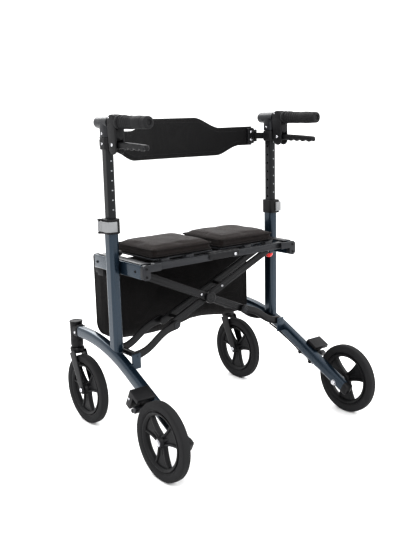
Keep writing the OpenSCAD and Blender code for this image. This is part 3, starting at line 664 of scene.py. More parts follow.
def strap_edges(x):
    """The strap's upper and lower edges at x."""
    upper = STRAP_TOP - (STRAP_TOP - STRAP_END_TOP) * ease_between(abs(x), 0.072, 0.160)
    lower = STRAP_LOW + (STRAP_END_LOW - STRAP_LOW) * ease_between(abs(x), 0.145, 0.222)
    sag = 0.0025 * (1 - (x / STRAP_HALF) ** 2)
    return upper - sag, lower - sag


def strap_half_thick(x):
    """Half the strap's thickness at x; it thins toward the ends."""
    return STRAP_THICK / 2 * (0.62 + 0.38 * ease_between(arc_half - abs(x), 0.010, 0.060))


bm = bmesh.new()
rings = []
for i in range(161):
    x = arc_half * (i / 80 - 1)
    upper, lower = strap_edges(x)
    middle, outward = strap_at(x)
    ripple = 0.0012 * noise.noise(Vector((x * 18, 3.1, 0.2)))
    centre = middle + outward * ripple + UP * (upper + lower) / 2
    rings.append(station(centre, outward, UP, strap_half_thick(x), (upper - lower) / 2))
loft(bm, rings, sides=64, square=3.4)
for v in bm.verts:
    v.co.y += 0.0009 * noise.noise(Vector((v.co.x * 30, v.co.y * 30, v.co.z * 22)))
strap_pad = add_piece("back_strap_pad", bm, strap_cloth, "left_handle", "strap_fabric",
                      ["left_back_strap", "right_back_strap"], smooth_under=60)
bm = bmesh.new()
for edge, inward in ((0, -1), (1, 1)):
    rings = []
    for i in range(121):
        x = arc_half * (i / 60 - 1)
        middle, outward = strap_at(x)
        z = strap_edges(x)[edge] + inward * 0.0026
        rings.append(station(middle + UP * z, outward, UP, 0.0047, 0.0046))
    loft(bm, rings, sides=20, square=2.8)
strap_binding = add_piece("back_strap_binding", bm, binding_cloth, "left_handle", "strap_fabric")
bm = bmesh.new()
for edge, inward in ((0, -1), (1, 1)):
    for i in range(STITCHES):
        x = arc_half * 0.97 * ((i + 0.5) * 2 / STITCHES - 1)
        middle, outward = strap_at(x)
        along = Vector((outward.y, -outward.x, 0))
        z = strap_edges(x)[edge] + inward * 0.0105
        for face in (-1, 1):
            at = middle + outward * face * strap_half_thick(x) * 0.93 + UP * z
            for v in bmesh.ops.create_icosphere(bm, subdivisions=1, radius=0.00045)["verts"]:
                v.co = at + along * v.co.x * 3.6 + outward * v.co.y + UP * v.co.z
strap_stitches = add_piece("back_strap_stitches", bm, stitch_thread, "left_handle", "strap_fabric")
for piece in (strap_pad, strap_binding, strap_stitches):
    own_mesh(piece)

bm = bmesh.new()
block(bm, (0.2365, PLATE_REAR, 0.7805), (0.2595, PLATE_FRONT, 0.8265), 0.003, 4)
for low in (0.786, 0.8125):
    high = low + 0.0075
    rod(bm, (STRAP_HINGE.x, STRAP_HINGE.y, low), (STRAP_HINGE.x, STRAP_HINGE.y, high), 0.006, 32, 0.001)
    block(bm, (0.254, STRAP_HINGE.y - 0.0055, low), (0.267, STRAP_HINGE.y + 0.0055, high), 0.001)
add_pair("strap_plate", bm, black_plastic, "handle", "dark_plastic")
rivets = []
for z in (0.792, 0.815):
    rivets.append(((0.246, PLATE_REAR, z), -FORWARD, 0.0040))
    rivets.append(((0.246, PLATE_FRONT, z), FORWARD, 0.0040))
add_screws("strap_rivets", rivets, "handle")

# ---------------------------------------------------------------------------------------------
# Seat rails: one extruded tube a side in the legs' paint, screwed to the post, with cast fittings
# at the rear and along the top, and a moulded cap and bag hanger at the front.
# ---------------------------------------------------------------------------------------------
RAIL_X = 0.258
RAIL_Z = 0.480
RAIL_REAR = POST_Y - 0.108
RAIL_FRONT = POST_Y + 0.120
for kind, ease, material, slot in (
    ("seat_rail", 0.0008, frame_paint, "frame_paint"),
    ("rail_fittings", 0.0012, casting_paint, "grey_casting"),
    ("rail_cap", 0.0012, black_plastic, "dark_plastic"),
):
    eased_pair(kind, f"{kind}_eased", ease, material, "side_frame", slot)
screws = [((RAIL_X - 0.0107, POST_Y + y, RAIL_Z - 0.003), -RIGHT, 0.0040) for y in (-0.080, -0.040, 0.050)]
screws += [((RAIL_X, RAIL_REAR - 0.014, RAIL_Z + z), -FORWARD, 0.0036) for z in (-0.011, 0.011)]
screws += [((RAIL_X, RAIL_FRONT + 0.006, RAIL_Z), FORWARD, 0.0036)]
screws += [((RAIL_X + 0.0107, y, RAIL_Z), RIGHT, 0.0036) for y in (RAIL_REAR + 0.024, RAIL_FRONT - 0.016)]
add_screws("rail_screws", screws, "side_frame", black_plastic, "dark_plastic")

# ---------------------------------------------------------------------------------------------
# Seat frames: two cast halves hinged on the rails, each a crossbar with a plate on webs, and a
# moulded hand grip over the bars' meeting ends that is pulled up to fold the seat.
# ---------------------------------------------------------------------------------------------
CROSSBAR_Y = POST_Y - 0.103
eased_pair("seat_frame", "seat_half", 0.0013, casting_paint, "seat", "grey_casting")
bm = bmesh.new()
rings = []
for i in range(65):
    x = -0.0495 + 0.109 * i / 64
    end = min(x + 0.0495, 0.0595 - x)
    close = sqrt(max(0.02, 1 - max(0.0, 1 - end / 0.007) ** 2))
    finger = 0.0006 * cos(2 * pi * x / 0.018) if 0.012 < end else 0.0
    half_deep = 0.0126 * (0.85 + 0.15 * close)
    half_high = (0.0113 + finger) * (0.72 + 0.28 * close)
    rings.append(station((x, CROSSBAR_Y - 0.0004, 0.4925), FORWARD, UP, half_deep, half_high))
loft(bm, rings, sides=40, square=3.4)
add_piece("crossbar_hand_grip", bm, black_plastic, "center_grip", "dark_plastic", ["crossbar_grip"])
bm = bmesh.new()
screw_head(bm, (0.042, CROSSBAR_Y - 0.0128, 0.490), -FORWARD, 0.0046)
screw_head(bm, (0.042, CROSSBAR_Y + 0.0120, 0.490), FORWARD, 0.0046)
add_piece("crossbar_grip_screw", bm, steel, "center_grip", "steel")

# ---------------------------------------------------------------------------------------------
# Seat cushions: two foam pads in brown-black woven cloth, each on its seat frame's plate, crowned
# on top, with a piped seam round the top edge and another round the foot.
# ---------------------------------------------------------------------------------------------
PAD_EDGE = 0.0135
PAD_REAR = POST_Y - 0.087
PAD_FRONT = POST_Y + 0.099
PAD_OUTER = 0.2128
PAD_LOW = 0.5052
PAD_TOP = 0.530
seat_cloth = cloth_skin("brown_black_seat_cloth", (0.012, 0.0088, 0.0082), (0.027, 0.0205, 0.0190), 260,
                        relief=0.7, fade=0.35, sheen=0.1)
piping_cloth = cloth_skin("brown_black_piping", (0.009, 0.0068, 0.0064), (0.020, 0.0155, 0.0145), 420,
                          relief=0.6)
STUFFING_PRESSURE = 4.0
SWELL_LIMIT = 0.007
PIPED_CORNER = 0.0095
PIPING_R = 0.0017


def stuffed(mesh):
    """Blows a closed mesh up a little, as foam fills a cover, and returns the new points."""
    cover = bpy.data.objects.new("cover", mesh)
    scene.collection.objects.link(cover)
    cloth = cover.modifiers.new("cloth", "CLOTH")
    cloth.settings.use_pressure = True
    cloth.settings.uniform_pressure_force = STUFFING_PRESSURE
    cloth.settings.effector_weights.gravity = 0
    for number in range(1, 21):
        scene.frame_set(number)
    after = cover.evaluated_get(bpy.context.evaluated_depsgraph_get()).to_mesh()
    points = [v.co.copy() for v in after.vertices]
    scene.frame_set(1)
    bpy.data.objects.remove(cover)
    return points


for side_name, side in SIDES.items():
    bm = bmesh.new()
    block(bm, (PAD_EDGE + 0.0025, PAD_REAR + 0.003, PAD_LOW), (0.2115, PAD_FRONT - 0.003, PAD_TOP - 0.001),
          0.008, 5)
    rough = bpy.data.meshes.new("pad_start")
    bm.to_mesh(rough)
    bm.free()
    start = bpy.data.objects.new("pad_start", rough)
    scene.collection.objects.link(start)
    remesh = start.modifiers.new("remesh", "REMESH")
    remesh.mode = "VOXEL"
    remesh.voxel_size = 0.005
    even = bpy.data.meshes.new_from_object(start.evaluated_get(bpy.context.evaluated_depsgraph_get()))
    bpy.data.objects.remove(start)
    before = [v.co.copy() for v in even.vertices]
    swollen = stuffed(even)
    for v, old, new in zip(even.vertices, before, swollen):
        move = new - old
        if move.length > SWELL_LIMIT:
            move *= SWELL_LIMIT / move.length
        crown_x = 1 - ((old.x - 0.1125) / 0.099) ** 2
        crown_y = 1 - ((old.y - (PAD_REAR + PAD_FRONT) / 2) / 0.093) ** 2
        crown = max(0.0, crown_x) ** 0.5 * max(0.0, crown_y) ** 0.5
        up = 0.0052 * crown if old.z > 0.518 else 0.0
        dimple = 0.0008 * noise.noise(Vector((old.x * 25, old.y * 25, 1.7 * side)))
        pull = 0.35 if abs(move.z) < abs(move.x) + abs(move.y) else 0.8
        at = old + move * pull + Vector((0, 0, up + (dimple if up else 0)))
        at.x = min(PAD_OUTER, max(PAD_EDGE + 0.0008, at.x))
        at.y = min(PAD_FRONT - 0.0005, max(PAD_REAR + 0.0005, at.y))
        at.z = max(PAD_LOW, at.z)
        v.co = at
    bm = bmesh.new()
    bm.from_mesh(even)
    bmesh.ops.scale(bm, vec=(side, 1, 1), verts=bm.verts)
    pad = add_piece(f"{side_name}_seat_pad", bm, seat_cloth, f"{side_name}_seat", "seat_fabric",
                    [f"{side_name}_seat_cushion"], smooth_under=80)
    finer = pad.modifiers.new("finer", "SUBSURF")
    finer.levels = 1
    finer.render_levels = 1

# Piping: a cord sewn into each seam, round the pad's upper shoulder and round its foot.
bm = bmesh.new()
for height, tuck in ((PAD_TOP - 0.0040, 0.0012), (PAD_LOW + 0.0040, 0.0010)):
    low = Vector((PAD_EDGE + tuck + 0.0006, PAD_REAR + tuck + 0.0010))
    high = Vector((PAD_OUTER - tuck, PAD_FRONT - tuck - 0.0010))
    rings = []
    for quarter in range(4):
        cx = high.x - PIPED_CORNER if quarter in (0, 3) else low.x + PIPED_CORNER
        cy = high.y - PIPED_CORNER if quarter in (0, 1) else low.y + PIPED_CORNER
        for k in range(9):
            angle = pi / 2 * (quarter + k / 8)
            out = Vector((cos(angle), sin(angle), 0))
            centre = Vector((cx, cy, height)) + out * PIPED_CORNER
            rings.append(station(centre, out, UP, PIPING_R, PIPING_R))
    loft(bm, rings, sides=12, closed=True)
add_pair("seat_piping", bm, piping_cloth, "seat", "seat_fabric")

# ---------------------------------------------------------------------------------------------
# Cross brace: two flat cast arms that cross at a hub, each a pair of blades tied by spacer
# tubes. One hangs from the left rail, one from the right, and a thick hub pin joins them.
# ---------------------------------------------------------------------------------------------
BRACE_TOP = Vector((-0.236, 0, 0.466))
HUB = Vector((0, 0, 0.361))
brace_dir = (HUB - BRACE_TOP).normalized()
KNEE_X = 0.125
BRACE_KNEE = HUB + brace_dir * (KNEE_X / brace_dir.x)
brace_casting = hard_skin("black_brace_casting", (0.012, 0.012, 0.013), 0.38, metallic=0.35, coat=0.25,
                          shade_drift=0.4, gloss_drift=0.25, drift_size=150, grain_size=1600, grain=0.25)


def heading_at(points, i):
    """The direction that a row of points runs in at its i-th point."""
    return (points[min(len(points) - 1, i + 1)] - points[max(0, i - 1)]).normalized()


def flat_arm(bm, path, y, half_thick, half_high, r_start, r_end, square=5.5):
    """A flat bar in the XZ plane along a row of points, with rounded ends of their own radii."""
    points = [Vector((p.x, y, p.z)) for p in path]
    first = heading_at(points, 0)
    last = heading_at(points, len(points) - 1)
    rings = []
    for i in range(10):
        back = cos(pi / 2 * i / 10)
        rings.append((points[0] - first * r_start * back, first, r_start * sin(pi / 2 * (i + 0.6) / 10.6)))
    for i, p in enumerate(points):
        t = i / (len(points) - 1)
        near_start = max(0.0, 1 - t * 6)
        near_end = max(0.0, 1 - (1 - t) * 6)
        high = half_high + (r_start - half_high) * near_start + (r_end - half_high) * near_end
        rings.append((p, heading_at(points, i), high))
    for i in range(9, -1, -1):
        back = cos(pi / 2 * i / 10)
        rings.append((points[-1] + last * r_end * back, last, r_end * sin(pi / 2 * (i + 0.6) / 10.6)))
    loft(bm, [station(p, FORWARD, (-d.z, 0, d.x), half_thick, h) for p, d, h in rings], square=square)


def brace_blade(bm, flip, y):
    """One blade from its rail hinge to its knee, with two raised ribs down its rear face."""
    def place(p):
        return Vector((p.x * flip, 0, p.z))
    path = [place(BRACE_TOP.lerp(BRACE_KNEE, i / 16)) for i in range(17)]
    flat_arm(bm, path, y, 0.0034, 0.0108, 0.011, 0.011)
    square_up = Vector((-brace_dir.z, 0, brace_dir.x))
    for lift in (-0.0048, 0.0048):
        start = place(BRACE_TOP + brace_dir * 0.030 + square_up * lift)
        end = place(BRACE_KNEE - brace_dir * 0.024 + square_up * lift)
        rear = Vector((0, y - 0.0030, 0))
        rod(bm, start + rear, end + rear, 0.0011, 10, 0.0003)


for brace, flip, blade_ys, spacer_xs in (
    ("brace_a", 1, (POST_Y - 0.0465, POST_Y + 0.0145), (-0.120, 0.066)),
    ("brace_b", -1, (POST_Y - 0.0375, POST_Y + 0.0055), (-0.060, 0.100)),
):
    bm = bmesh.new()
    for y in blade_ys:
        brace_blade(bm, flip, y)
    for x in spacer_xs:
        at = HUB + brace_dir * (x / brace_dir.x)
        rod(bm, (at.x * flip, blade_ys[0], at.z), (at.x * flip, blade_ys[1], at.z), 0.005, 24)
    if brace == "brace_a":
        rod(bm, (0, POST_Y - 0.054, HUB.z), (0, POST_Y + 0.022, HUB.z), 0.007, 32, 0.0008)
        head = [(0.0490, 0.0165), (0.0562, 0.0168), (0.0573, 0.0163), (0.0580, 0.0150), (0.0580, 0.0112),
                (0.0570, 0.0104), (0.0570, 0.0068), (0.0576, 0.0062), (0.0580, 0.0050), (0.0581, 0.0020)]
        rings_along(bm, (0, POST_Y, HUB.z), -FORWARD, head, 48)
    add_piece(f"{brace}_bars", bm, brace_casting, brace, "grey_casting", [brace], smooth_under=40)
    bm = bmesh.new()
    for reach in (0.026, 0.226) if flip > 0 else (0.200,):
        at = BRACE_TOP + brace_dir * reach
        screw_head(bm, (at.x * flip, blade_ys[0] - 0.0034, at.z), -FORWARD, 0.0034)
    top = BRACE_TOP.x * flip
    screw_head(bm, (top, blade_ys[0] - 0.0034, BRACE_TOP.z), -FORWARD, 0.0052)
    add_piece(f"{brace}_screws", bm, steel, brace, "steel")

# ---------------------------------------------------------------------------------------------
# Lower arms: swan-necked cast blades, two a side, on a tube that turns on the pin between the
# leg's lugs. Their round heads meet the brace's knees, where a dished rivet shows.
# ---------------------------------------------------------------------------------------------
arm_reach = Vector((KNEE_X, 0, BRACE_KNEE.z)) - ARM_HINGE
arm_dir = arm_reach.normalized()
arm_side = Vector((arm_dir.z, 0, -arm_dir.x))
ARM_SWAY = 0.006
bm = bmesh.new()
path = []
for i in range(33):
    t = i / 32
    path.append(ARM_HINGE + arm_reach * t - arm_side * ARM_SWAY * sin(2 * pi * t) * (1 - 0.35 * t))
for y in (POST_Y - 0.056, POST_Y + 0.024):
    flat_arm(bm, path, y, 0.0039, 0.0105, 0.012, 0.013, square=4.5)
rod(bm, ARM_HINGE + FORWARD * (POST_Y - 0.0595), ARM_HINGE + FORWARD * (POST_Y + 0.0275), 0.0085, 32, 0.001)
add_pair("swan_arm", bm, brace_casting, "arm", "grey_casting", "brace_arm", 40)
bm = bmesh.new()
head = ARM_HINGE + arm_reach
rivet = [(0.0, 0.0092), (0.0012, 0.0092), (0.0018, 0.0084), (0.0018, 0.0070), (0.0008, 0.0060),
         (0.0008, 0.0040), (0.0016, 0.0034), (0.0018, 0.0015)]
for face, y in ((-1, POST_Y - 0.0598), (1, POST_Y + 0.0278)):
    rings_along(bm, (head.x, y, head.z), face * FORWARD, rivet, 36)
add_pair("arm_rivets", bm, casting_paint, "arm", "grey_casting")

# ---------------------------------------------------------------------------------------------
# Release knob: a glossy red ball on a steel rod under the right rail.
# ---------------------------------------------------------------------------------------------
KNOB = Vector((RAIL_X, POST_Y - 0.020, 0.449))
KNOB_R = 0.0115
red_gloss = hard_skin("glossy_red_ball", (0.62, 0.020, 0.018), 0.18, coat=0.6, shade_drift=0.15,
                      gloss_drift=0.1, drift_size=80, grain_size=900, grain=0.03)
bm = bmesh.new()
rings = [(-KNOB_R * cos(pi * (i + 0.3) / 25), KNOB_R * sin(pi * (i + 0.3) / 25)) for i in range(22)]
rings += [(KNOB_R * 0.93, 0.0052), (KNOB_R * 1.02, 0.0050), (KNOB_R * 1.06, 0.0042), (KNOB_R * 1.06, 0.0025)]
rings_along(bm, KNOB, UP, rings, 40)
add_piece("red_release_ball", bm, red_gloss, "knob", "knob_red", ["release_knob"], smooth_under=50)
bm = bmesh.new()
rod(bm, KNOB + Vector((0, 0, KNOB_R)), KNOB + Vector((0, 0, 0.031)), 0.003, 20, 0.0005)
add_piece("release_rod", bm, steel, "knob", "steel")

# ---------------------------------------------------------------------------------------------
# Bag: black woven cloth hung between the rails' hangers, open at the top under the seat. It is
# one piece of cloth round the front, bottom and back with a gusset sewn in at each end; the
# seams are piped, the top edge is hemmed, and the bottom hangs in a shallow belly.
# ---------------------------------------------------------------------------------------------
BAG_HALF = 0.240
BAG_REAR = POST_Y + 0.060
BAG_DEPTH = 0.122
BAG_TOP = 0.458
BAG_LOW = 0.258
BAG_CORNER = 0.030
bag_cloth = cloth_skin("black_bag_cloth", (0.0042, 0.0036, 0.0038), (0.0115, 0.0098, 0.0100), 300,
                       relief=0.7, fade=0.45, sheen=0.06, roughness=0.8)
bag_tape = cloth_skin("black_bag_piping", (0.009, 0.008, 0.008), (0.026, 0.024, 0.024), 480, relief=0.6)


def bag_outline(share):
    """The U of the bag's side, from the back's top, under the bottom, to the front's top."""
    wall = BAG_TOP - BAG_LOW - BAG_CORNER
    floor_run = BAG_DEPTH - 2 * BAG_CORNER
    arc = pi / 2 * BAG_CORNER
    s = share * (2 * wall + 2 * arc + floor_run)
    if s < wall:
        return Vector((0, BAG_REAR, BAG_TOP - s))
    s -= wall
    if s < arc:
        a = s / BAG_CORNER
        return Vector((0, BAG_REAR + BAG_CORNER * (1 - cos(a)), BAG_LOW + BAG_CORNER * (1 - sin(a))))
    s -= arc
    if s < floor_run:
        return Vector((0, BAG_REAR + BAG_CORNER + s, BAG_LOW))
    s -= floor_run
    if s < arc:
        a = s / BAG_CORNER
        y = BAG_REAR + BAG_DEPTH - BAG_CORNER * (1 - sin(a))
        return Vector((0, y, BAG_LOW + BAG_CORNER * (1 - cos(a))))
    s -= arc
    return Vector((0, BAG_REAR + BAG_DEPTH, BAG_LOW + BAG_CORNER + s))


def hang(point):
    """Where a point of the flat bag hangs once the cloth sags, folds and puckers."""
    x, y, z = point
    span = 1 - (x / BAG_HALF) ** 2
    depth = (BAG_TOP - z) / (BAG_TOP - BAG_LOW)
    across = (y - BAG_REAR) / BAG_DEPTH
    belly = 0.010 * span * ease_between(depth, 0.55, 1.0)
    gather = 0.024 * exp(-((x - 0.055) / 0.085) ** 2) * ease_between(depth, 0.45, 1.0) * (1 - across)
    top_sag = 0.008 * span * ease_between(1 - depth, 0.5, 1.0)
    face = 1 if across > 0.5 else -1
    push = 0.006 * span * sin(pi * min(1.0, depth * 1.1)) * abs(2 * across - 1)
    fold = noise.noise(Vector((x * 14 + 5, across * 2.1, z * 5)))
    crease = noise.noise(Vector((x * 34, across * 3.7 + 9, z * 26)))
    strength = 0.3 + 0.7 * span
    y_new = y + face * push + strength * (0.0042 * fold + 0.0013 * crease)
    z_new = z - belly + gather - top_sag * 0.5 + 0.0012 * crease
    pinch = sin(pi * depth) * max(0.0, 1 - ((across - 0.42) / 0.34) ** 2)
    side_fold = 0.0045 * cos(2 * pi * (across - 0.30) / 0.36) * ease_between(depth, 0.35, 0.8)
    inward = 0.006 + 0.006 * pinch - 0.5 * side_fold * pinch if abs(x) > BAG_HALF - 0.0005 else 0.0
    return Vector((x - inward if x > 0 else x + inward, y_new, z_new))


bm = bmesh.new()
columns, around = 96, 72
made = bmesh.ops.create_grid(bm, x_segments=columns, y_segments=around, size=0.5)["verts"]
for v in made:
    flat = bag_outline(v.co.y + 0.5)
    flat.x = (v.co.x * 2) * BAG_HALF
    v.co = hang(flat)
gusset_rows, gusset_columns = 60, 36
for end in (-1, 1):
    made = bmesh.ops.create_grid(bm, x_segments=gusset_columns, y_segments=gusset_rows, size=0.5)["verts"]
    for v in made:
        z = BAG_LOW + (BAG_TOP - BAG_LOW) * (0.5 + v.co.y) ** 1.25
        drop = max(0.0, BAG_LOW + BAG_CORNER - z)
        inset = BAG_CORNER - sqrt(max(0.0, BAG_CORNER ** 2 - drop ** 2))
        y = BAG_REAR + inset + (BAG_DEPTH - 2 * inset) * (0.5 + v.co.x)
        v.co = hang(Vector((end * BAG_HALF, y, z)))
bag = add_piece("bag_shell", bm, bag_cloth, "root", "bag_fabric", ["left_bag", "right_bag"],
                smooth_under=70)
thick = bag.modifiers.new("cloth_thickness", "SOLIDIFY")
thick.thickness = 0.0016
thick.offset = 0

bm = bmesh.new()
for end in (-1, 1):
    seam = [hang(bag_outline(i / 90) + RIGHT * end * BAG_HALF) for i in range(91)]
    rings = []
    for i, p in enumerate(seam):
        rings.append(station(p, RIGHT, heading_at(seam, i).cross(RIGHT), 0.0021, 0.0021))
    loft(bm, rings, sides=12)
for share in (0.0, 1.0):
    y = bag_outline(share).y
    hem = [hang(Vector((BAG_HALF * (i / 50 - 1), y, BAG_TOP - 0.004))) for i in range(101)]
    loft(bm, [station(p, FORWARD, UP, 0.0020, 0.0095) for p in hem], sides=16, square=3)
for end in (-1, 1):
    x = end * BAG_HALF
    hem = [hang(Vector((x, BAG_REAR + BAG_DEPTH * i / 30, BAG_TOP - 0.004))) for i in range(31)]
    loft(bm, [station(p, RIGHT, UP, 0.0020, 0.0095) for p in hem], sides=16, square=3)
bag_seams = add_piece("bag_piping", bm, bag_tape, "root", "bag_fabric", smooth_under=60)
for piece in (bag, bag_seams):
    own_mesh(piece)

# ---------------------------------------------------------------------------------------------
# Tyres: soft grey-black rubber, moulded round the rims, with a squarish tread and a fine groove
# at each shoulder.
# ---------------------------------------------------------------------------------------------
WHEEL_R = 0.100
TYRE_HALF = 0.012
BEAD_R = 0.079
CASTER_X = 0.286
FRONT_AXLE = Vector((CASTER_X, 0.220, WHEEL_R))
REAR_WHEEL = Vector((0.332, REAR_AXLE.y, WHEEL_R))
tyre_rubber = hard_skin("grey_black_tyre_rubber", (0.019, 0.019, 0.020), 0.78, shade_drift=0.5,
                        gloss_drift=0.2, drift_size=45, grain_size=1400, grain=0.45)
WHEELS = (("front", FRONT_AXLE, 0.0148), ("rear", REAR_WHEEL, 0.0138))


def turned(bm, centre, outline, steps=96):
    """Spins a closed outline of (offset along the axle, radius) points once round a wheel's axle."""
    chain = [bm.verts.new(centre + Vector((x, 0, r))) for x, r in outline]
    edges = [bm.edges.new((a, b)) for a, b in zip(chain, chain[1:] + chain[:1])]
    bmesh.ops.spin(bm, geom=chain + edges, cent=centre, axis=(1, 0, 0), angle=2 * pi, steps=steps,
                   use_merge=True)


tread = []
for i in range(25):
    angle = pi * i / 24
    across = TYRE_HALF * (1 if cos(angle) > 0 else -1) * abs(cos(angle)) ** 0.50
    crown = 0.0120 * sin(angle) ** 0.50
    groove = 0.0007 if i in (6, 18) else 0.0
    tread.append((across, WHEEL_R - 0.012 + crown - groove))
tyre_outline = tread + [(-TYRE_HALF, 0.0830), (-0.0112, 0.0806), (-0.0098, BEAD_R), (0.0098, BEAD_R),
                        (0.0112, 0.0806), (TYRE_HALF, 0.0830)]

for end, axle, hub_half in WHEELS:
    bm = bmesh.new()
    turned(bm, axle, tyre_outline, steps=120)
    add_pair(f"{end}_tyre_ring", bm, tyre_rubber, f"{end}_wheel", "tyre_rubber", f"{end}_tyre", 40)

# ---------------------------------------------------------------------------------------------
# Rims: one moulding each, with a deep lipped rim, a stepped hub, and three broad spokes that
# fork like a Y, each fork ribbed down its edges and webbed between.
# ---------------------------------------------------------------------------------------------
rim_plastic = hard_skin("charcoal_rim_plastic", (0.010, 0.010, 0.011), 0.46, shade_drift=0.3,
                        gloss_drift=0.25, drift_size=70, grain_size=2000, grain=0.25)
rim_face = [(0.0096, BEAD_R - 0.0002), (0.0088, 0.0772), (0.0074, 0.0762), (0.0074, 0.0752),
            (0.0088, 0.0744), (0.0104, 0.0738), (0.0106, 0.0728), (0.0100, 0.0710), (0.0086, 0.0686),
            (0.0072, 0.0666), (0.0054, 0.0652), (0.0030, 0.0647)]
rim_outline = rim_face + [(-x, r) for x, r in reversed(rim_face)]


def spoke(bm, axle, heading):
    """One Y-shaped spoke: a rib down each edge, parting toward the rim, and a sunk web between."""
    outward = Vector((0, sin(heading), cos(heading)))
    across = Vector((0, cos(heading), -sin(heading)))
    web = []
    for fork in (-1, 1):
        rings = []
        for i in range(19):
            t = i / 18
            spread = 0.0098 + 0.0190 * t ** 1.9
            middle = axle + outward * (0.006 + 0.0600 * t)
            rib = middle + across * fork * spread
            rings.append(station(rib, RIGHT, across, 0.0076 - 0.0012 * t, 0.0036 + 0.0014 * t))
            if fork > 0:
                web.append(station(middle, RIGHT, across, 0.0034, spread))
        loft(bm, rings, square=2.8)
    loft(bm, web, square=5)
    rings = []
    for i in range(9):
        t = i / 8
        centre = axle + outward * (0.010 + 0.030 * t)
        rings.append(station(centre, RIGHT, across, 0.0078 - 0.0046 * t, 0.0060 - 0.0035 * t))
    loft(bm, rings, sides=16, square=2)


for end, axle, hub_half in WHEELS:
    bm = bmesh.new()
    turned(bm, axle, rim_outline, steps=120)
    for k in range(3):
        spoke(bm, axle, pi + 2 * pi * k / 3)
    hub = [(hub_half - 0.0012, 0.0045), (hub_half, 0.0065), (hub_half, 0.0105), (hub_half - 0.0008, 0.0122),
           (0.0098, 0.0136), (0.0060, 0.0158)]
    turned(bm, axle, hub + [(-x, r) for x, r in reversed(hub)], steps=48)
    add_pair(f"{end}_rim_moulding", bm, rim_plastic, f"{end}_wheel", "rim_plastic", f"{end}_rim", 40)

# ---------------------------------------------------------------------------------------------
# Rear axles: a plated bolt through the leg and the wheel, with a low nut inside the leg, a
# spacer between leg and hub, and a domed hexagon head on the wheel's outer face.
# ---------------------------------------------------------------------------------------------
LEG_INNER = LEG_X - LEG_HALF_WIDE
LEG_OUTER = LEG_X + LEG_HALF_WIDE


def hexagon_head(bm, at, facing, radius, height):
    """A chamfered hexagon on a round washer face, standing at a point along the X axis."""
    washer = [(-0.02, 1.14), (0.12, 1.14)]
    hexagon = [(0.14, 1.0), (0.80, 1.0), (0.92, 0.93), (1.0, 0.78), (1.03, 0.4)]
    for shape, sides in ((washer, 32), (hexagon, 6)):
        rings_along(bm, at, facing, [(h * height, r * radius) for h, r in shape], sides)


y, z = REAR_AXLE.y, REAR_AXLE.z
bm = bmesh.new()
rod(bm, (LEG_INNER - 0.004, y, z), (REAR_WHEEL.x + 0.0165, y, z), 0.004, 24, 0.0006)
rod(bm, (LEG_OUTER + 0.0002, y, z), (REAR_WHEEL.x - 0.0142, y, z), 0.0085, 32, 0.0008)
hexagon_head(bm, (LEG_INNER - 0.0002, y, z), -RIGHT, 0.0072, 0.0052)
hexagon_head(bm, (REAR_WHEEL.x + 0.0142, y, z), RIGHT, 0.0078, 0.0055)
add_pair("rear_bolt", bm, steel, "side_frame", "steel", "rear_axle")

# ---------------------------------------------------------------------------------------------
# Caster heads: a moulded housing on the front of each leg that holds the stem's bearings, with
# a press-on cap and a bolt through its side into the leg.
# ---------------------------------------------------------------------------------------------
STEM_Y = FRONT_AXLE.y + 0.048
HEAD_TOP = 0.295
HEAD_LOW = 0.217
bm = bmesh.new()
head = [(HEAD_LOW, 0.0062), (HEAD_LOW, 0.0150), (HEAD_LOW + 0.0008, 0.0164), (HEAD_LOW + 0.004, 0.0172),
        (HEAD_LOW + 0.006, 0.0180), (0.240, 0.0180), (0.2405, 0.0177), (0.2412, 0.0177), (0.2417, 0.0180),
        (HEAD_TOP - 0.0062, 0.0180), (HEAD_TOP - 0.0056, 0.0174), (HEAD_TOP - 0.0050, 0.0174),
        (HEAD_TOP - 0.0048, 0.0190), (HEAD_TOP - 0.0030, 0.0195), (HEAD_TOP - 0.0012, 0.0188),
        (HEAD_TOP - 0.0003, 0.0165), (HEAD_TOP, 0.0120), (HEAD_TOP, 0.0080), (HEAD_TOP - 0.0006, 0.0072),
        (HEAD_TOP - 0.0006, 0.0020)]
rings_along(bm, (CASTER_X, STEM_Y, 0), UP, head, 56)
collar = [(STEM_Y - 0.030, 0.0150, 0.0172), (STEM_Y - 0.0292, 0.0156, 0.0180),
          (STEM_Y - 0.022, 0.0160, 0.0184), (STEM_Y - 0.006, 0.0160, 0.0184)]
rings_along(bm, (LEG_X - 0.0006, 0, LEG_FRONT_Z), FORWARD, collar, 40, 3.4)
add_pair("caster_housing", bm, black_plastic, "side_frame", "dark_plastic", "caster_head")
bolt = Vector((LEG_X, STEM_Y - 0.0205, LEG_FRONT_Z - 0.003))
heads = [(bolt + RIGHT * 0.0152, RIGHT, 0.0040), (bolt - RIGHT * 0.0164, -RIGHT, 0.0040)]
add_screws("caster_bolt", heads, "side_frame")

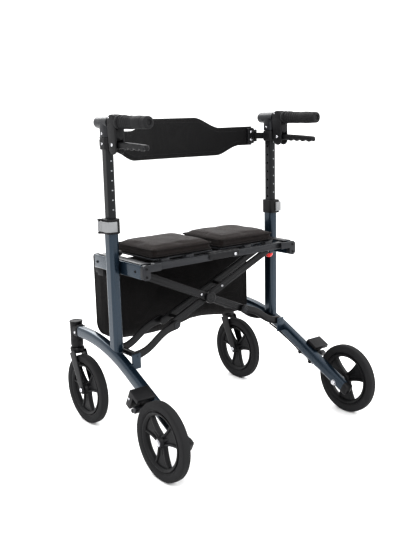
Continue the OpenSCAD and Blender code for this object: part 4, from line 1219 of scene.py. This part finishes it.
# ---------------------------------------------------------------------------------------------
# Caster forks: a moulded crown with two broad tapered blades that lean back to the axle, each
# with a dished outer face, and a steel axle bolt through both.
# ---------------------------------------------------------------------------------------------
FORK_HALF_GAP = TYRE_HALF + 0.0035
FORK_THICK = 0.005
bm = bmesh.new()
top = Vector((0, STEM_Y - 0.002, 0.203))
bend = Vector((0, FRONT_AXLE.y + 0.030, WHEEL_R + 0.068))
low = Vector((0, FRONT_AXLE.y, WHEEL_R))
route = []
for i in range(25):
    t = i / 24
    route.append((1 - t) ** 2 * top + 2 * t * (1 - t) * bend + t * t * low)
for cheek in (-1, 1):
    x = CASTER_X + cheek * (FORK_HALF_GAP + FORK_THICK / 2)
    rings = []
    for i, p in enumerate(route):
        t = i / 24
        ahead = heading_at(route, i)
        half_wide = 0.0165 - 0.0040 * t + 0.0015 * sin(pi * t)
        rings.append(station(p + RIGHT * x, RIGHT, ahead.cross(RIGHT), FORK_THICK / 2, half_wide))
    for i in range(1, 9):
        reach = 0.0126 * sin(pi / 2 * i / 8)
        close = 0.0126 * cos(pi / 2 * i / 8.4)
        p = route[-1] + ahead * reach
        rings.append(station(p + RIGHT * x, RIGHT, ahead.cross(RIGHT), FORK_THICK / 2, close))
    loft(bm, rings, sides=28, square=4)
    boss = [(-0.0004, 0.0088), (0.0010, 0.0086), (0.0016, 0.0076), (0.0016, 0.0040)]
    rings_along(bm, (x + cheek * FORK_THICK / 2, low.y, low.z), RIGHT * cheek, boss, 32)
crown = [(0.1985, 0.0150), (0.2000, 0.0180), (0.2030, 0.0198), (0.2110, 0.0204), (0.2140, 0.0198),
         (0.2160, 0.0178), (0.2165, 0.0140), (0.2165, 0.0060)]
rings_along(bm, (CASTER_X, STEM_Y, 0), UP, [(z, r, r * 0.96) for z, r in crown], 48, 2.3)
rod(bm, (CASTER_X, STEM_Y, 0.214), (CASTER_X, STEM_Y, 0.2735), 0.006, 24)
add_pair("fork_moulding", bm, black_plastic, "caster", "dark_plastic", "caster_fork")
bm = bmesh.new()
reach = RIGHT * (FORK_HALF_GAP + FORK_THICK + 0.0016)
rod(bm, FRONT_AXLE - reach, FRONT_AXLE + reach, 0.004, 24)
screw_head(bm, FRONT_AXLE + reach, RIGHT, 0.0062, 0.0022)
screw_head(bm, FRONT_AXLE - reach, -RIGHT, 0.0062, 0.0022)
add_pair("front_bolt", bm, steel, "caster", "steel")

# ---------------------------------------------------------------------------------------------
# Rear brake units: a moulded housing over each leg in front of the wheel, a cast shoe that
# swings in its pocket onto the tyre, and two adjusters with knurled nuts under the leg.
# ---------------------------------------------------------------------------------------------
LEG_LIFT = ((LEG_FRONT_Z - LEG_ARC * (1 - cos(LEG_SLOPE)) - WHEEL_R) * cos(LEG_SLOPE)
            - (LEG_LEVEL_Y - LEG_ARC * sin(LEG_SLOPE) - REAR_AXLE.y) * sin(LEG_SLOPE))
LEG_UNDER = LEG_LIFT - LEG_HALF_HIGH
LUGS = (0.104, 0.150)
WIRE_X = 0.285
WIRE_DROP = 0.0055


def along_leg(distance, lift=0.0, x=0.0):
    """A point measured from the rear axle along the leg's slope, square to it, and across."""
    return REAR_AXLE + slope_along * distance + slope_up * lift + RIGHT * x


eased_pair("brake_unit", "brake_unit_moulding", 0.0024, black_plastic, "side_frame", "dark_plastic", 4)
eased_pair("brake_shoe", "brake_shoe_casting", 0.0012, casting_paint, "shoe", "grey_casting")
bm = bmesh.new()
for d in (LUGS[0] - 0.0045, LUGS[0] + 0.0145, LUGS[1] - 0.0045, LUGS[1] + 0.0145):
    for k in range(4):
        centre = along_leg(d + 0.0011 * (k - 1.5), LEG_UNDER - WIRE_DROP, WIRE_X)
        radius = 0.0040 if k % 2 else 0.0035
        rings = [station(centre + slope_along * s, RIGHT, slope_up, radius * r, radius * r)
                 for s, r in ((-0.0005, 0.9), (-0.0003, 1), (0.0003, 1), (0.0005, 0.9))]
        loft(bm, rings, sides=12)
start = along_leg(LUGS[0] - 0.022, LEG_UNDER - WIRE_DROP, WIRE_X)
end = along_leg(LUGS[1] + 0.016, LEG_UNDER - WIRE_DROP, WIRE_X)
rod(bm, start, end, 0.0009, 12)
screw_head(bm, along_leg(0.146, 0.010, 0.344), RIGHT, 0.0036)
add_pair("brake_adjusters", bm, steel, "side_frame", "steel")

# ---------------------------------------------------------------------------------------------
# Brake cables: a black jacketed cable a side, out of the leg under the post and along the leg's
# underside to the first adjuster.
# ---------------------------------------------------------------------------------------------
CABLE_R = 0.0025
cable_jacket = hard_skin("black_cable_jacket", (0.010, 0.010, 0.011), 0.38, shade_drift=0.2,
                         gloss_drift=0.2, drift_size=80, grain_size=1500, grain=0.15)


def under_arc(degrees):
    """A point under the leg's bend, clear of it by the cable's half."""
    reach = LEG_ARC - LEG_HALF_HIGH - CABLE_R - 0.0003
    return arc_centre + reach * Vector((0, -sin(radians(degrees)), cos(radians(degrees))))


route = [under_arc(20), under_arc(22), under_arc(24), under_arc(26.9)]
for d, drop in ((0.225, 0.0028), (0.205, 0.0028), (0.188, 0.0034), (0.174, 0.0047), (0.1603, 0.0055)):
    route.append(along_leg(d, LEG_UNDER - drop))
points = [Vector((0.277 + 0.001 * i, p.y, p.z)) for i, p in enumerate(route)]
bm = bmesh.new()
fine = []
for i in range(len(points) - 1):
    before, after = points[max(0, i - 1)], points[min(len(points) - 1, i + 2)]
    a, b = points[i], points[i + 1]
    for k in range(6):
        t = k / 6
        fine.append(0.5 * ((2 * a) + (b - before) * t + (2 * before - 5 * a + 4 * b - after) * t * t
                           + (3 * a - before - 3 * b + after) * t ** 3))
fine.append(points[-1])
rings = []
for i, p in enumerate(fine):
    tangent = heading_at(fine, i)
    across = tangent.cross(RIGHT).normalized()
    rings.append(station(p, across.cross(tangent), across, CABLE_R, CABLE_R))
loft(bm, rings, sides=14)
back = (fine[-2] - fine[-1]).normalized()
ferrule = ((0.0, 0.0030), (0.0005, 0.0033), (0.0085, 0.0033), (0.0092, 0.0029), (0.0110, 0.0027))
loft(bm, [station(points[-1] + back * s, RIGHT, slope_up, r, r) for s, r in ferrule], sides=20)
add_pair("cable", bm, cable_jacket, "side_frame", "cable_jacket", "brake_cable")
